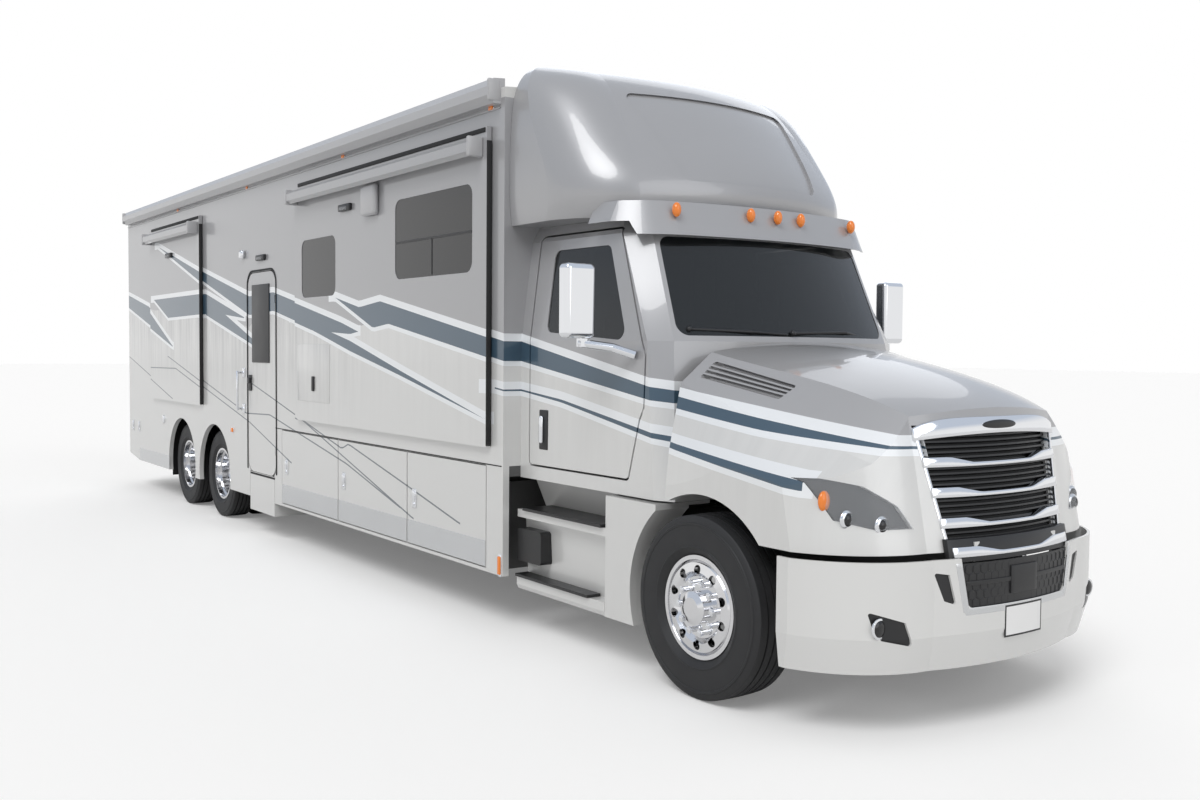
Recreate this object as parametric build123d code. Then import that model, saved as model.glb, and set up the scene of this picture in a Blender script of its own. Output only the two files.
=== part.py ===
"""Conventional-cab motorhome: a hollow coach with slide-out rooms on a three-axle truck chassis.

Millimetres. +X is forward, +Y is left and +Z is up. The origin is on the ground under the middle.
"""

import os
from math import atan2, cos, degrees, hypot, radians, sin

from build123d import *

os.makedirs("parts", exist_ok=True)

# Wheel stations and overall lengths
FRONT_OVERHANG = 1300.0  # bumper face to steer axle
WHEELBASE = 8530.0  # steer axle to first drive axle
TANDEM = 1320.0  # first to second drive axle
REAR_OVERHANG = 2670.0  # second drive axle to tail
LENGTH = FRONT_OVERHANG + WHEELBASE + TANDEM + REAR_OVERHANG
NOSE_X = LENGTH / 2
TAIL_X = -LENGTH / 2
STEER_X = NOSE_X - FRONT_OVERHANG
DRIVE_XS = (STEER_X - WHEELBASE, STEER_X - WHEELBASE - TANDEM)

# Running clearances
SEAT_GAP = 0.3  # between a moving piece and what carries it
DOOR_GAP = 8.0  # round a hinged door
HINGE_GAP = 11.0  # on a door's hinge side
SLIDE_GAP = 8.0  # round a slide-out room
CAB_DOOR_GAP = 14.0  # round a cab door

# Coach body
HALF_WIDTH = 1295.0
COACH_SETBACK = 1990.0  # steer axle to the coach's front end
COACH_X = STEER_X - COACH_SETBACK
WALL = 50.0
DOOR_SETBACK = 6.0  # a door's inner face to the wall's
DOOR_THICK = WALL - DOOR_SETBACK
SKIRT_Z = 385.0
TAIL_SKIRT_Z = 470.0
TAIL_CUT = 610.0  # length of the skirt's rising end
FLOOR_Z = 1165.0
FLOOR_THICK = 75.0
ROOF_Z = 3740.0
ROOF_EDGE = 70.0
ROOF_CROWN = 60.0
CORNER_R = 85.0

# Chassis frame
RAIL_OUT = 432.0
RAIL_Z = 690.0
RAIL_HEIGHT = 270.0
RAIL_FLANGE = 90.0
RAIL_THICK = 10.0
RAIL_FRONT = 310.0  # bumper face to the rails' front end
RAIL_REAR = 190.0
SLEEPER_WIDTH = 70.0
CROSS_WIDTH = 80.0
OUTRIGGER_HEIGHT = 60.0
HORN_THICK = 40.0  # the horns that carry the hood's pivot shaft

# Tyres and wheels
STEER_TYRE_R = 530.0
STEER_TYRE_W = 310.0
DRIVE_TYRE_R = 505.0
DRIVE_TYRE_W = 270.0
BEAD_R = 286.0
RIM_R = 298.0  # rim flange
BEAD_SHARE = 0.72  # of the tyre's width
RIM_LIP = 14.0
RIM_THICK = 12.0
DROP_CENTRE = 34.0  # the rim's well, below the bead seats
WHEEL_FACE_Y = 1220.0  # outer sidewalls
DUAL_SPACING = 340.0
HAND_HOLES = 10
HAND_HOLE_R = 27.0
HAND_HOLE_PCR = 217.0
DISC_THICK = 20.0
LUG_COUNT = 10
LUG_PCR = 142.9
LUG_R = 17.0
LUG_LENGTH = 48.0
KINGPIN_Y = 950.0
KINGPIN_R = 22.0
SPINDLE_R = 45.0
STEER_ARCH_R = 645.0
DRIVE_ARCH_R = 580.0

# Pivot pins of hinged doors
PIN_R = 5.0
PIN_LENGTH = 24.0
PIN_INSET = 8.0  # from the door's hinge edge
PIN_DEPTH = 10.0  # from the door's outer face


def block(x0, x1, y0, y1, z0, z1):
    """A box between two corners."""
    low = (min(x0, x1), min(y0, y1), min(z0, z1))
    size = (abs(x1 - x0), abs(y1 - y0), abs(z1 - z0))
    centre = tuple(a + b / 2 for a, b in zip(low, size))
    return Pos(*centre) * Box(*size)


def rod(x, y, z, radius, length, axis):
    """A cylinder centred on a point along the named axis."""
    turn = {"x": Rot(0, 90, 0), "y": Rot(90, 0, 0), "z": Rot(0, 0, 0)}[axis]
    return Pos(x, y, z) * turn * Cylinder(radius, length)


def side_prism(points, y0, y1, radius=0.0):
    """An XZ outline carried from one Y to another, with its corners rounded."""
    face = make_face(Polyline(*[(x, 0, z) for x, z in points], close=True))
    if radius:
        face = fillet_face(face, radius)
    depth = y1 - y0
    return Pos(0, y0, 0) * extrude(face, amount=depth, dir=(0, 1, 0))


def fillet_face(face, radius):
    """A flat face with every corner rounded."""
    return fillet(face.vertices(), radius)


def round_panel(x0, x1, z0, z1, y0, y1, radius):
    """A rounded rectangle in XZ carried from one Y to another."""
    return side_prism([(x0, z0), (x1, z0), (x1, z1), (x0, z1)], y0, y1, radius)


def mirrored(shape):
    """The same piece on the other side of the vehicle."""
    return mirror(shape, about=Plane.XZ)


def both(shape):
    """A piece and its opposite, as separate solids."""
    return Compound(children=[*shape.solids(), *mirrored(shape).solids()])


def save(name, shape):
    """Writes one node."""
    solids = shape.solids()
    whole = solids[0] if len(solids) == 1 else Compound(children=solids)
    export_step(whole, f"parts/{name}.step")


# Coach openings. Positions are measured back from the coach's front end.
# (name, side, front, rear, bottom, top, depth of the room)
SLIDES = (
    ("slide_front", -1, 170.0, 3860.0, 1290.0, 3560.0, 780.0),
    ("slide_rear", -1, 6940.0, 9130.0, 1290.0, 3540.0, 640.0),
    ("slide_left", 1, 900.0, 6400.0, 1290.0, 3560.0, 700.0),
)
# (slide, front, rear, bottom, top)
SLIDE_WINDOWS = (
    ("slide_front", 375.0, 1643.0, 2545.0, 3183.0),
    ("slide_front", 2863.0, 3676.0, 2460.0, 3002.0),
    ("slide_left", 1300.0, 2568.0, 2545.0, 3183.0),
    ("slide_left", 3200.0, 4013.0, 2460.0, 3002.0),
    ("slide_left", 4900.0, 5713.0, 2460.0, 3002.0),
)
WINDOW_R = 85.0
GLASS = 12.0
GLASS_INSET = 4.0  # behind the outer face
FASCIA = 38.0  # slide-out's outer panel
FASCIA_PROUD = 6.0  # gap between the panel's back and the wall
FASCIA_LAP = 45.0  # panel's overlap on the wall
ROOM_WALL = 40.0
# (name, side, front, rear): side-hung baggage doors, hinged at their front edges
BAGGAGE = (
    ("baggage_door_right_front", -1, 240.0, 1500.0),
    ("baggage_door_right_middle", -1, 1515.0, 2905.0),
    ("baggage_door_right_rear", -1, 2920.0, 4330.0),
    ("baggage_door_left_front", 1, 240.0, 2320.0),
    ("baggage_door_left_rear", 1, 2335.0, 4415.0),
)
BAGGAGE_TOP = 1150.0
BAGGAGE_LOW = SKIRT_Z + 33.0
ENTRY = (4510.0, 5335.0, 660.0, 2770.0)  # front, rear, bottom, top
ENTRY_R = 150.0
ENTRY_HINGES = (920.0, 2480.0)  # heights of the entry door's hinge lugs
ENTRY_PIN_DEPTH = 7.0  # from the entry door's outer face
ENTRY_CORNER_EASE = 35.0  # how much tighter the opening's corners are than the door's, for its swing
HINGE_LUG = 60.0
STEP_INSET = 45.0  # from the door's edges to the folding step's ends
STEP_TOP_Z = 600.0
STEP_SILL_GAP = 6.0  # from the door's foot to the step's face plate
STEP_LOW_Z = 245.0
STEP_DEPTH = 620.0
STEP_PLATE = 12.0
ENTRY_WINDOW = (190.0, 670.0, 1845.0, 2626.0)  # from the door's front edge
ENTRY_WINDOW_R = 60.0


def hinge_pins(x, y, z0, z1, gap):
    """Upper and lower pivot pins that reach out of the jamb into a door."""
    reach = PIN_LENGTH + gap
    top = rod(x, y, z1 + gap - reach / 2, PIN_R, reach, "z")
    foot = rod(x, y, z0 - gap + reach / 2, PIN_R, reach, "z")
    return top + foot


def hinge_holes(x, y, z0, z1):
    """The holes in a door for those pins."""
    depth = PIN_LENGTH + SEAT_GAP
    hole_r = PIN_R + SEAT_GAP
    return rod(x, y, z1 - depth / 2, hole_r, depth, "z") + rod(x, y, z0 + depth / 2, hole_r, depth, "z")


def through(side):
    """A span of y that passes right through a side wall."""
    return side * (HALF_WIDTH - 2 * WALL), side * (HALF_WIDTH + WALL)


def hinge_lug(x, y, z, edge):
    """A lug on the right wall with a pin up and down into a door, and the space it takes from the door."""
    half = HINGE_LUG / 2
    reach = 2 * (half + DOOR_GAP + PIN_LENGTH)
    lug = block(x - PIN_R - 4, edge + HINGE_GAP + 1, y - PIN_R, y + WALL / 2, z - half, z + half)
    lug += rod(x, y, z, PIN_R, reach, "z")
    low, high = z - half - DOOR_GAP, z + half + DOOR_GAP
    space = block(x - 2 * PIN_R - 7, edge + 1, -HALF_WIDTH - 1, -HALF_WIDTH + WALL, low, high)
    space += rod(x, y, z, PIN_R + SEAT_GAP, reach + 2 * SEAT_GAP, "z")
    return lug, space


def coach_walls():
    """Side walls with skirts, cut for rooms, doors and wheels, and the doors that fill them."""
    pieces = {}
    tail = TAIL_X + CORNER_R
    outline = [
        (tail, TAIL_SKIRT_Z - (CORNER_R / TAIL_CUT) * (TAIL_SKIRT_Z - SKIRT_Z)),
        (TAIL_X + TAIL_CUT, SKIRT_Z),
        (COACH_X, SKIRT_Z),
        (COACH_X, ROOF_Z),
        (tail, ROOF_Z),
    ]
    walls = {side: side_prism(outline, side * HALF_WIDTH, side * (HALF_WIDTH - WALL)) for side in (-1, 1)}
    for side in walls:
        for x in DRIVE_XS:
            walls[side] -= rod(x, side * HALF_WIDTH, DRIVE_TYRE_R, DRIVE_ARCH_R, 4 * WALL, "y")
        walls[side] -= block(*DRIVE_XS, *through(side), 0, DRIVE_TYRE_R / 2)
    for name, side, front, rear, low, high, _ in SLIDES:
        lap = FASCIA_LAP
        walls[side] -= block(
            COACH_X - rear + lap, COACH_X - front - lap, *through(side), low + lap, high - lap
        )
    for name, side, front, rear in BAGGAGE:
        x0, x1 = COACH_X - rear, COACH_X - front
        outer, inner = side * HALF_WIDTH, side * (HALF_WIDTH - DOOR_THICK)
        pin = (x1 - PIN_INSET, side * (HALF_WIDTH - PIN_DEPTH))
        floor = BAGGAGE_LOW
        walls[side] -= block(
            x0 - DOOR_GAP, x1 + HINGE_GAP, *through(side), floor - DOOR_GAP, BAGGAGE_TOP + DOOR_GAP
        )
        walls[side] += hinge_pins(*pin, floor, BAGGAGE_TOP, DOOR_GAP)
        door = block(x0, x1, outer, inner, floor, BAGGAGE_TOP)
        pieces[name] = door - hinge_holes(*pin, floor, BAGGAGE_TOP)
    front, rear, low, high = ENTRY
    x0, x1 = COACH_X - rear, COACH_X - front
    pin = (x1 - PIN_INSET, -(HALF_WIDTH - ENTRY_PIN_DEPTH))
    corner = ENTRY_R - ENTRY_CORNER_EASE
    walls[-1] -= round_panel(
        x0 - DOOR_GAP, x1 + HINGE_GAP, low - DOOR_GAP, high + DOOR_GAP, *through(-1), corner
    )
    door = round_panel(x0, x1, low, high, -HALF_WIDTH, -HALF_WIDTH + DOOR_THICK, ENTRY_R)
    for z in ENTRY_HINGES:
        lug, space = hinge_lug(*pin, z, x1)
        walls[-1] += lug
        door -= space
    walls[-1] -= block(x0 + STEP_INSET - DOOR_GAP, x1 - STEP_INSET + DOOR_GAP, *through(-1), 0, low)
    w0, w1, wz0, wz1 = ENTRY_WINDOW
    opening = round_panel(x1 - w1, x1 - w0, wz0, wz1, *through(-1), ENTRY_WINDOW_R)
    glass_y = -HALF_WIDTH + GLASS_INSET
    pane = round_panel(x1 - w1, x1 - w0, wz0, wz1, glass_y, glass_y + GLASS, ENTRY_WINDOW_R)
    pieces["entry_door"] = door - opening
    pieces["entry_door_glass"] = pane
    pieces["coach_wall_right"] = walls[-1]
    pieces["coach_wall_left"] = walls[1]
    return pieces


TOPPER_Z = 150.0  # top of a slide-out to the top of its awning case
TOPPER_OUT = 115.0
TOPPER_HEIGHT = 130.0


def slide_rooms():
    """Slide-out rooms: an outer panel with windows, floor, ceiling and side walls, open to the inside."""
    pieces = {}
    for name, side, front, rear, low, high, depth in SLIDES:
        x0, x1 = COACH_X - rear, COACH_X - front
        back = HALF_WIDTH + FASCIA_PROUD
        face = back + FASCIA
        room = block(x0, x1, side * back, side * face, low, high)
        inset = FASCIA_LAP + SLIDE_GAP
        bx0, bx1, bz0, bz1 = x0 + inset, x1 - inset, low + inset, high - inset
        inner = HALF_WIDTH - depth
        shell = block(bx0, bx1, side * inner, side * back, bz0, bz1)
        wall = ROOM_WALL
        room += shell - block(
            bx0 + wall, bx1 - wall, side * (inner - 1), side * (back + 1), bz0 + wall, bz1 - wall
        )
        panes = []
        for owner, w_front, w_rear, w_low, w_high in SLIDE_WINDOWS:
            if owner != name:
                continue
            wx0, wx1 = COACH_X - w_rear, COACH_X - w_front
            room -= round_panel(wx0, wx1, w_low, w_high, side * (back - 1), side * (face + 1), WINDOW_R)
            outer = face - GLASS_INSET
            pane = round_panel(wx0, wx1, w_low, w_high, side * (outer - GLASS), side * outer, WINDOW_R)
            panes += pane.solids()
        top = high - TOPPER_Z / 2
        profile = [
            (face, top),
            (face + TOPPER_OUT * 0.75, top - 12),
            (face + TOPPER_OUT, top - 40),
            (face + TOPPER_OUT, top - TOPPER_HEIGHT * 0.8),
            (face + TOPPER_OUT * 0.7, top - TOPPER_HEIGHT),
            (face, top - TOPPER_HEIGHT * 0.6),
        ]
        case = make_face(Polyline(*[(x0 + 60, side * y, z) for y, z in profile], close=True))
        room += extrude(case, amount=x1 - x0 - 120, dir=(1, 0, 0))
        pieces[name] = room
        if panes:
            pieces[name + "_glass"] = Compound(children=panes)
    return pieces


def coach_shell():
    """Floor, roof, tail and front bulkhead."""
    inside = HALF_WIDTH - WALL
    tail = TAIL_X + CORNER_R
    floor = block(tail, COACH_X, -inside, inside, FLOOR_Z - FLOOR_THICK, FLOOR_Z)
    for x in DRIVE_XS:
        wells = block(x - DRIVE_ARCH_R, x + DRIVE_ARCH_R, -inside, -RAIL_OUT - 60, 0, FLOOR_Z - 25)
        floor -= wells
        floor -= mirrored(wells)
    # Wear pads carry each room's floor.
    for _, side, front, rear, low, _, depth in SLIDES:
        under = low + FASCIA_LAP + SLIDE_GAP - SEAT_GAP
        for share in (0.1, 0.5, 0.9):
            x = COACH_X - front - share * (rear - front)
            floor += block(x - 40, x + 40, side * (HALF_WIDTH - depth), side * inside, FLOOR_Z - 1, under)
    section = Polyline(
        (TAIL_X, -HALF_WIDTH, ROOF_Z + ROOF_EDGE),
        (TAIL_X, -HALF_WIDTH, ROOF_Z),
        (TAIL_X, HALF_WIDTH, ROOF_Z),
        (TAIL_X, HALF_WIDTH, ROOF_Z + ROOF_EDGE),
    )
    crown = ThreePointArc(
        (TAIL_X, HALF_WIDTH, ROOF_Z + ROOF_EDGE),
        (TAIL_X, 0, ROOF_Z + ROOF_EDGE + ROOF_CROWN),
        (TAIL_X, -HALF_WIDTH, ROOF_Z + ROOF_EDGE),
    )
    roof = extrude(make_face([section, crown]), amount=COACH_X - TAIL_X, dir=(1, 0, 0))
    roof -= block(tail, COACH_X - WALL, -inside, inside, ROOF_Z - 1, ROOF_Z + ROOF_EDGE - WALL)
    half = HALF_WIDTH
    plan = make_face(Polyline((tail, -half), (tail, half), (TAIL_X, half), (TAIL_X, -half), close=True))
    corners = plan.vertices().sort_by(Axis.X)[:2]
    plan = fillet(corners, CORNER_R - 1)
    rear = Pos(0, 0, TAIL_SKIRT_Z) * extrude(plan, amount=ROOF_Z - TAIL_SKIRT_Z)
    rear -= block(TAIL_X + WALL, tail + 1, -inside, inside, 0, ROOF_Z + 1)
    bulkhead = block(COACH_X - WALL, COACH_X, -inside, inside, FLOOR_Z, ROOF_Z)
    bulkhead -= block(COACH_X - 2 * WALL, COACH_X + 1, -700, 700, FLOOR_Z + 20, 3300)
    ends = Compound(children=[*rear.solids(), *bulkhead.solids()])
    return {"coach_floor": floor, "coach_roof": roof, "end_walls": ends}


def chassis_frame():
    """Two rails, with cross-members, outriggers, brackets and the hood's pivot shaft bolted to them."""
    front, rear = NOSE_X - RAIL_FRONT, TAIL_X + RAIL_REAR
    top = RAIL_Z + RAIL_HEIGHT
    rail = block(rear, front, RAIL_OUT - RAIL_FLANGE, RAIL_OUT, RAIL_Z, top)
    web = RAIL_OUT - RAIL_THICK
    rail -= block(rear - 1, front + 1, RAIL_OUT - RAIL_FLANGE - 1, web, RAIL_Z + RAIL_THICK, top - RAIL_THICK)
    under_floor = FLOOR_Z - FLOOR_THICK
    rail += block(TAIL_X + CORNER_R, COACH_X, RAIL_OUT - SLEEPER_WIDTH, RAIL_OUT, top, under_floor)
    # Cab mounts on the rails
    for x in (STEER_X - 620, COACH_X + 260):
        rail += block(x, x + 120, RAIL_OUT - RAIL_FLANGE, RAIL_OUT, top - 1, CAB_FLOOR_Z)
    # Horns that carry the hood's pivot, ahead of the rails
    px, pz = HOOD_PIVOT
    horn_inside = RAIL_OUT - HORN_THICK
    rail += block(front - HORN_THICK, px + 6, horn_inside, RAIL_OUT, pz - 40, pz + 10)
    rail += block(front - HORN_THICK, front + 1, horn_inside, RAIL_OUT, RAIL_Z, pz + 10)
    pieces = [rail, mirrored(rail), rod(px, 0, pz, HOOD_PIN_R, 2 * (horn_inside - SEAT_GAP), "y")]
    first = front - HORN_THICK - SEAT_GAP - CROSS_WIDTH
    crosses = [first, COACH_X - 300, COACH_X - 1900, COACH_X - 3500, COACH_X - 5450]
    crosses += [(DRIVE_XS[0] + DRIVE_XS[1]) / 2 - CROSS_WIDTH / 2, DRIVE_XS[1] - 900, rear]
    inner, outer = web - SEAT_GAP, RAIL_OUT + SEAT_GAP
    for x in crosses:
        pieces.append(block(x, x + CROSS_WIDTH, -inner, inner, RAIL_Z + 60, top - 60))
    arm_z = under_floor - OUTRIGGER_HEIGHT
    for x in [c for c in crosses if c < COACH_X and abs(c - sum(DRIVE_XS) / 2) > 300]:
        arm = block(x, x + CROSS_WIDTH, outer, HALF_WIDTH - WALL - 1, arm_z, under_floor)
        pieces += [arm, mirrored(arm)]
    # Side brackets that carry the cab's step fairings
    for x in (COACH_X + 220, STEER_X - STEER_ARCH_R - 220):
        arm = block(x, x + 60, outer, FAIRING_OUT - FAIRING_THICK - SEAT_GAP, 780, 860)
        pieces += [arm, mirrored(arm)]
    return Compound(children=[solid for piece in pieces for solid in piece.solids()])


# Tow receiver under the tail
RECEIVER_IN = 50.8 / 2
RECEIVER_WALL = 6.4
RECEIVER_Z = 360.0
RECEIVER_LENGTH = 260.0
RECEIVER_CROSS = 90.0  # cross tube's size
RECEIVER_BACK = 12.0  # tail to the receiver's mouth
RECEIVER_PIN_R = 8.1
RECEIVER_PIN_X = 55.0  # mouth to pin


def tow_receiver():
    """Square receiver tube, cross tube and drop plates on the outside of the rails."""
    mouth = TAIL_X + RECEIVER_BACK
    out = RECEIVER_IN + RECEIVER_WALL
    tube = block(mouth, mouth + RECEIVER_LENGTH, -out, out, RECEIVER_Z - out, RECEIVER_Z + out)
    back = mouth + RECEIVER_LENGTH
    cross_x = back - RECEIVER_CROSS
    half = RECEIVER_CROSS / 2
    inner = RAIL_OUT + SEAT_GAP
    outer = inner + RAIL_THICK
    bar = block(cross_x, back, -outer, outer, RECEIVER_Z - half, RECEIVER_Z + half)
    plate = block(cross_x, back, inner, outer, RECEIVER_Z - half, RAIL_Z + RAIL_HEIGHT / 2)
    whole = tube + bar + plate + mirrored(plate)
    inside = RECEIVER_IN
    whole -= block(mouth - 1, cross_x - 10, -inside, inside, RECEIVER_Z - inside, RECEIVER_Z + inside)
    whole -= rod(mouth + RECEIVER_PIN_X, 0, RECEIVER_Z, RECEIVER_PIN_R, 4 * out, "y")
    return whole


# Cab, rows of: z, rear half-width, half-width at the pillar, pillar x, screen half-width, screen edge x,
# screen bow x. The x columns are measured back from the steer axle.
CAB_FLOOR_Z = 1085.0
CAB_ROOF_Z = 2850.0
CAB_SKIN = 55.0
PASSAGE_HALF = 620.0  # way through to the coach
CAB_ROWS = (
    (CAB_FLOOR_Z, 1150.0, 1140.0, 480.0, 1085.0, 345.0, 335.0),
    (2050.0, 1150.0, 1110.0, 600.0, 968.0, 515.0, 345.0),
    (2740.0, 1060.0, 1030.0, 960.0, 915.0, 805.0, 640.0),
    (CAB_ROOF_Z, 1000.0, 960.0, 1040.0, 850.0, 905.0, 740.0),
)


def cab_row(z):
    """The cab's table at a height, between its rows."""
    for low, high in zip(CAB_ROWS, CAB_ROWS[1:]):
        if z <= high[0] + 1e-6:
            share = (z - low[0]) / (high[0] - low[0])
            return [a + share * (b - a) for a, b in zip(low, high)]
    return list(CAB_ROWS[-1])


def cab_section(z, inset):
    """A closed plan outline of the cab at a height, drawn inset from the skin."""
    _, rear, side, pillar, screen, edge, bow = cab_row(z)
    back = COACH_X + inset
    right = [
        (back, rear - inset),
        (STEER_X - pillar - inset * 0.6, side - inset),
        (STEER_X - edge - inset, screen - inset * 0.6),
    ]
    left = [(x, -y) for x, y in reversed(right)]
    lines = Polyline(*[(x, y, z) for x, y in right])
    front = ThreePointArc(
        (*right[-1], z), (STEER_X - bow - inset, 0, z), (*left[0], z)
    )
    other = Polyline(*[(x, y, z) for x, y in left])
    close = Line((*left[-1], z), (*right[0], z))
    return make_face([*lines.edges(), front, *other.edges(), close])


def cab_form(inset):
    """The cab as one solid, smaller by the inset."""
    zs = [row[0] for row in CAB_ROWS]
    zs[0] += inset
    if inset:
        zs = [zs[0], *zs[1:-1], zs[-1] - inset * 0.9]
        zs[-2] = min(zs[-2], zs[-1] - 20)
    parts = [loft([cab_section(a, inset), cab_section(b, inset)], ruled=True) for a, b in zip(zs, zs[1:])]
    whole = parts[0]
    for extra in parts[1:]:
        whole += extra
    return whole


# Cab door outline in XZ, x measured back from the steer axle
CAB_DOOR = ((1870, 1190), (745, 1190), (655, 1560), (615, 1640), (615, 1960), (990, 2770), (1870, 2770))
CAB_WINDOW = ((1690.0, 2110.0), (800.0, 2050.0), (1075.0, 2670.0), (1690.0, 2670.0))
CAB_DOOR_R = 40.0
CAB_DOOR_FRONT = 615.0
CAB_PINS = (1655.0, 1945.0)  # heights where the pins enter the door
PIN_OUT = 75.0  # from there back into the jamb


def grow(points, by):
    """An outline moved outwards from its middle by about the given distance."""
    cx = sum(p[0] for p in points) / len(points)
    cz = sum(p[1] for p in points) / len(points)
    grown = []
    n = len(points)
    for i, (x, z) in enumerate(points):
        before, after = points[i - 1], points[(i + 1) % n]
        normals = []
        for (ax, az), (bx, bz) in ((before, (x, z)), ((x, z), after)):
            nx, nz = bz - az, ax - bx
            size = hypot(nx, nz)
            nx, nz = nx / size, nz / size
            if nx * ((ax + bx) / 2 - cx) + nz * ((az + bz) / 2 - cz) < 0:
                nx, nz = -nx, -nz
            normals.append((nx, nz))
        (ax, az), (bx, bz) = normals
        scale = by / (1 + ax * bx + az * bz)
        grown.append((x + scale * (ax + bx), z + scale * (az + bz)))
    return grown


def cab_side_y(x, z):
    """Half-width of the cab's flat side."""
    _, rear, side, pillar, _, _, _ = cab_row(z)
    share = (x - COACH_X) / (STEER_X - pillar - COACH_X)
    return rear + share * (side - rear)


def leaning_rod(point, side, start, end, radius):
    """A cylinder along the cab doors' hinge line, from one distance to another past a point on it."""
    x = STEER_X - CAB_DOOR_FRONT - PIN_INSET
    low, high = CAB_PINS
    lean = Vector(0, side * (cab_side_y(x, high) - cab_side_y(x, low)), high - low).normalized()
    start, end = min(start, end), max(start, end)
    base = Plane(origin=Vector(*point) + lean * start, z_dir=lean)
    return extrude(base * Circle(radius), amount=end - start)


def cab():
    """Cab shell, two doors cut from the same skin, glass, and the screen."""
    skin = cab_form(0) - cab_form(CAB_SKIN)
    door_line = [(STEER_X - x, z) for x, z in CAB_DOOR]
    window_line = [(STEER_X - x, z) for x, z in CAB_WINDOW]
    gap_line = grow(door_line, CAB_DOOR_GAP)
    pieces = {}
    reach = HALF_WIDTH
    shell = skin
    pin_x = STEER_X - CAB_DOOR_FRONT - PIN_INSET
    hinge_line = [(pin_x, cab_side_y(pin_x, z) - PIN_DEPTH, z) for z in CAB_PINS]
    for side in (-1, 1):
        name = "left" if side > 0 else "right"
        shell -= side_prism(gap_line, side * 700, side * reach, CAB_DOOR_R)
        panel = skin & side_prism(door_line, side * 700, side * reach, CAB_DOOR_R - 8)
        opening = side_prism(window_line, side * 700, side * reach, 60)
        glass_zone = side_prism(window_line, side * 700, side * reach, 60)
        glass = (cab_form(8) - cab_form(8 + GLASS)) & glass_zone
        panel -= opening
        for (x, y, z), sense in zip(hinge_line, (1, -1)):
            spot, out, into = (x, side * y, z), -sense * PIN_OUT, sense * PIN_LENGTH
            shell += leaning_rod(spot, side, out, into, PIN_R)
            panel -= leaning_rod(spot, side, out, into + sense * 2, PIN_R + SEAT_GAP)
        pieces[f"cab_door_{name}"] = panel
        pieces[f"cab_door_{name}_glass"] = glass
    screen_rows = (2085.0, 2715.0)
    zone = screen_zone(*screen_rows, 30)
    shell -= zone
    pieces["windshield"] = (cab_form(4) - cab_form(4 + GLASS)) & screen_zone(*screen_rows, 30)
    # Way through from the cab to the coach
    rim = 2 * CAB_SKIN
    low, high = CAB_FLOOR_Z + rim, CAB_ROOF_Z - rim
    shell -= block(COACH_X - 1, COACH_X + rim, -PASSAGE_HALF, PASSAGE_HALF, low, high)
    pieces["cab_shell"] = shell
    return pieces


def screen_zone(low, high, margin):
    """The space in front of the cab inside the screen's outline, seen from ahead."""
    below, above = cab_row(low)[4] - margin, cab_row(high)[4] - margin
    back = STEER_X - cab_row(high)[5] - 4 * CAB_SKIN
    return prism_x([(-below, low), (below, low), (above, high), (-above, high)], back, STEER_X - back, 70)


# Front plan curve shared by bumper and hood: half-width, side end, corner, bow
BUMPER_HALF = 1225.0
BUMPER_LOW_Z = 345.0
BUMPER_TOP_Z = 930.0
BUMPER_WALL = 16.0
PLATE_Z = 570.0  # number plate centre
PLATE_SPACING_Y = 178.0
PLATE_SPACING_Z = 121.0
PLATE_HOLE_R = 3.5
BUMPER_SIDE_X = 660.0  # steer axle to the bumper's rear ends
LOWER_GRILLE_Z = 665.0
LOWER_GRILLE_HALF = (430.0, 480.0)  # half-widths at its foot and head
LOWER_GRILLE_TOP = BUMPER_TOP_Z - 30.0  # clear of the hood's ears when it tilts
# Fog lamp pod and air inlet seen from ahead, as (y, z)
FOG_POD = ((990.0, 680.0), (810.0, 621.0), (763.0, 494.0), (926.0, 533.0), (963.0, 585.0))
AIR_INLET = ((645.0, 865.0), (550.0, 850.0), (505.0, 690.0), (580.0, 715.0))
POD_R = 10.0
HOOD_PIVOT = (NOSE_X - 80.0, BUMPER_TOP_Z - 5.0)
HOOD_PIN_R = 15.0
FAIRING_IN = 760.0
FAIRING_OUT = 1190.0
FAIRING_THICK = 260.0
FAIRING_LOW_Z = 300.0
FAIRING_TOP_Z = 1072.0
CORNER_BACK = 560.0  # nose to where the side starts to turn in
SHOULDER = (95.0, 640.0)  # behind the nose, half-width


def nose_outline(z, inset, rear, rake=0.0, taper=0.0):
    """A closed plan outline at a height: straight sides, round corners and a bowed front."""
    nose = NOSE_X - inset - rake
    half = BUMPER_HALF - inset - taper
    turn = NOSE_X - CORNER_BACK - rake
    shoulder_x = NOSE_X - SHOULDER[0] - inset - rake
    shoulder_y = SHOULDER[1] - inset * 0.4 - taper
    mid = (turn + (shoulder_x - turn) * 0.66, half - (half - shoulder_y) * 0.36)
    right_side = Line((rear, half, z), (turn, half, z))
    right = ThreePointArc((turn, half, z), (*mid, z), (shoulder_x, shoulder_y, z))
    bow = ThreePointArc((shoulder_x, shoulder_y, z), (nose, 0, z), (shoulder_x, -shoulder_y, z))
    left = ThreePointArc((shoulder_x, -shoulder_y, z), (mid[0], -mid[1], z), (turn, -half, z))
    left_side = Line((turn, -half, z), (rear, -half, z))
    back = Line((rear, -half, z), (rear, half, z))
    return make_face([right_side, right, bow, left, left_side, back])


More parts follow.
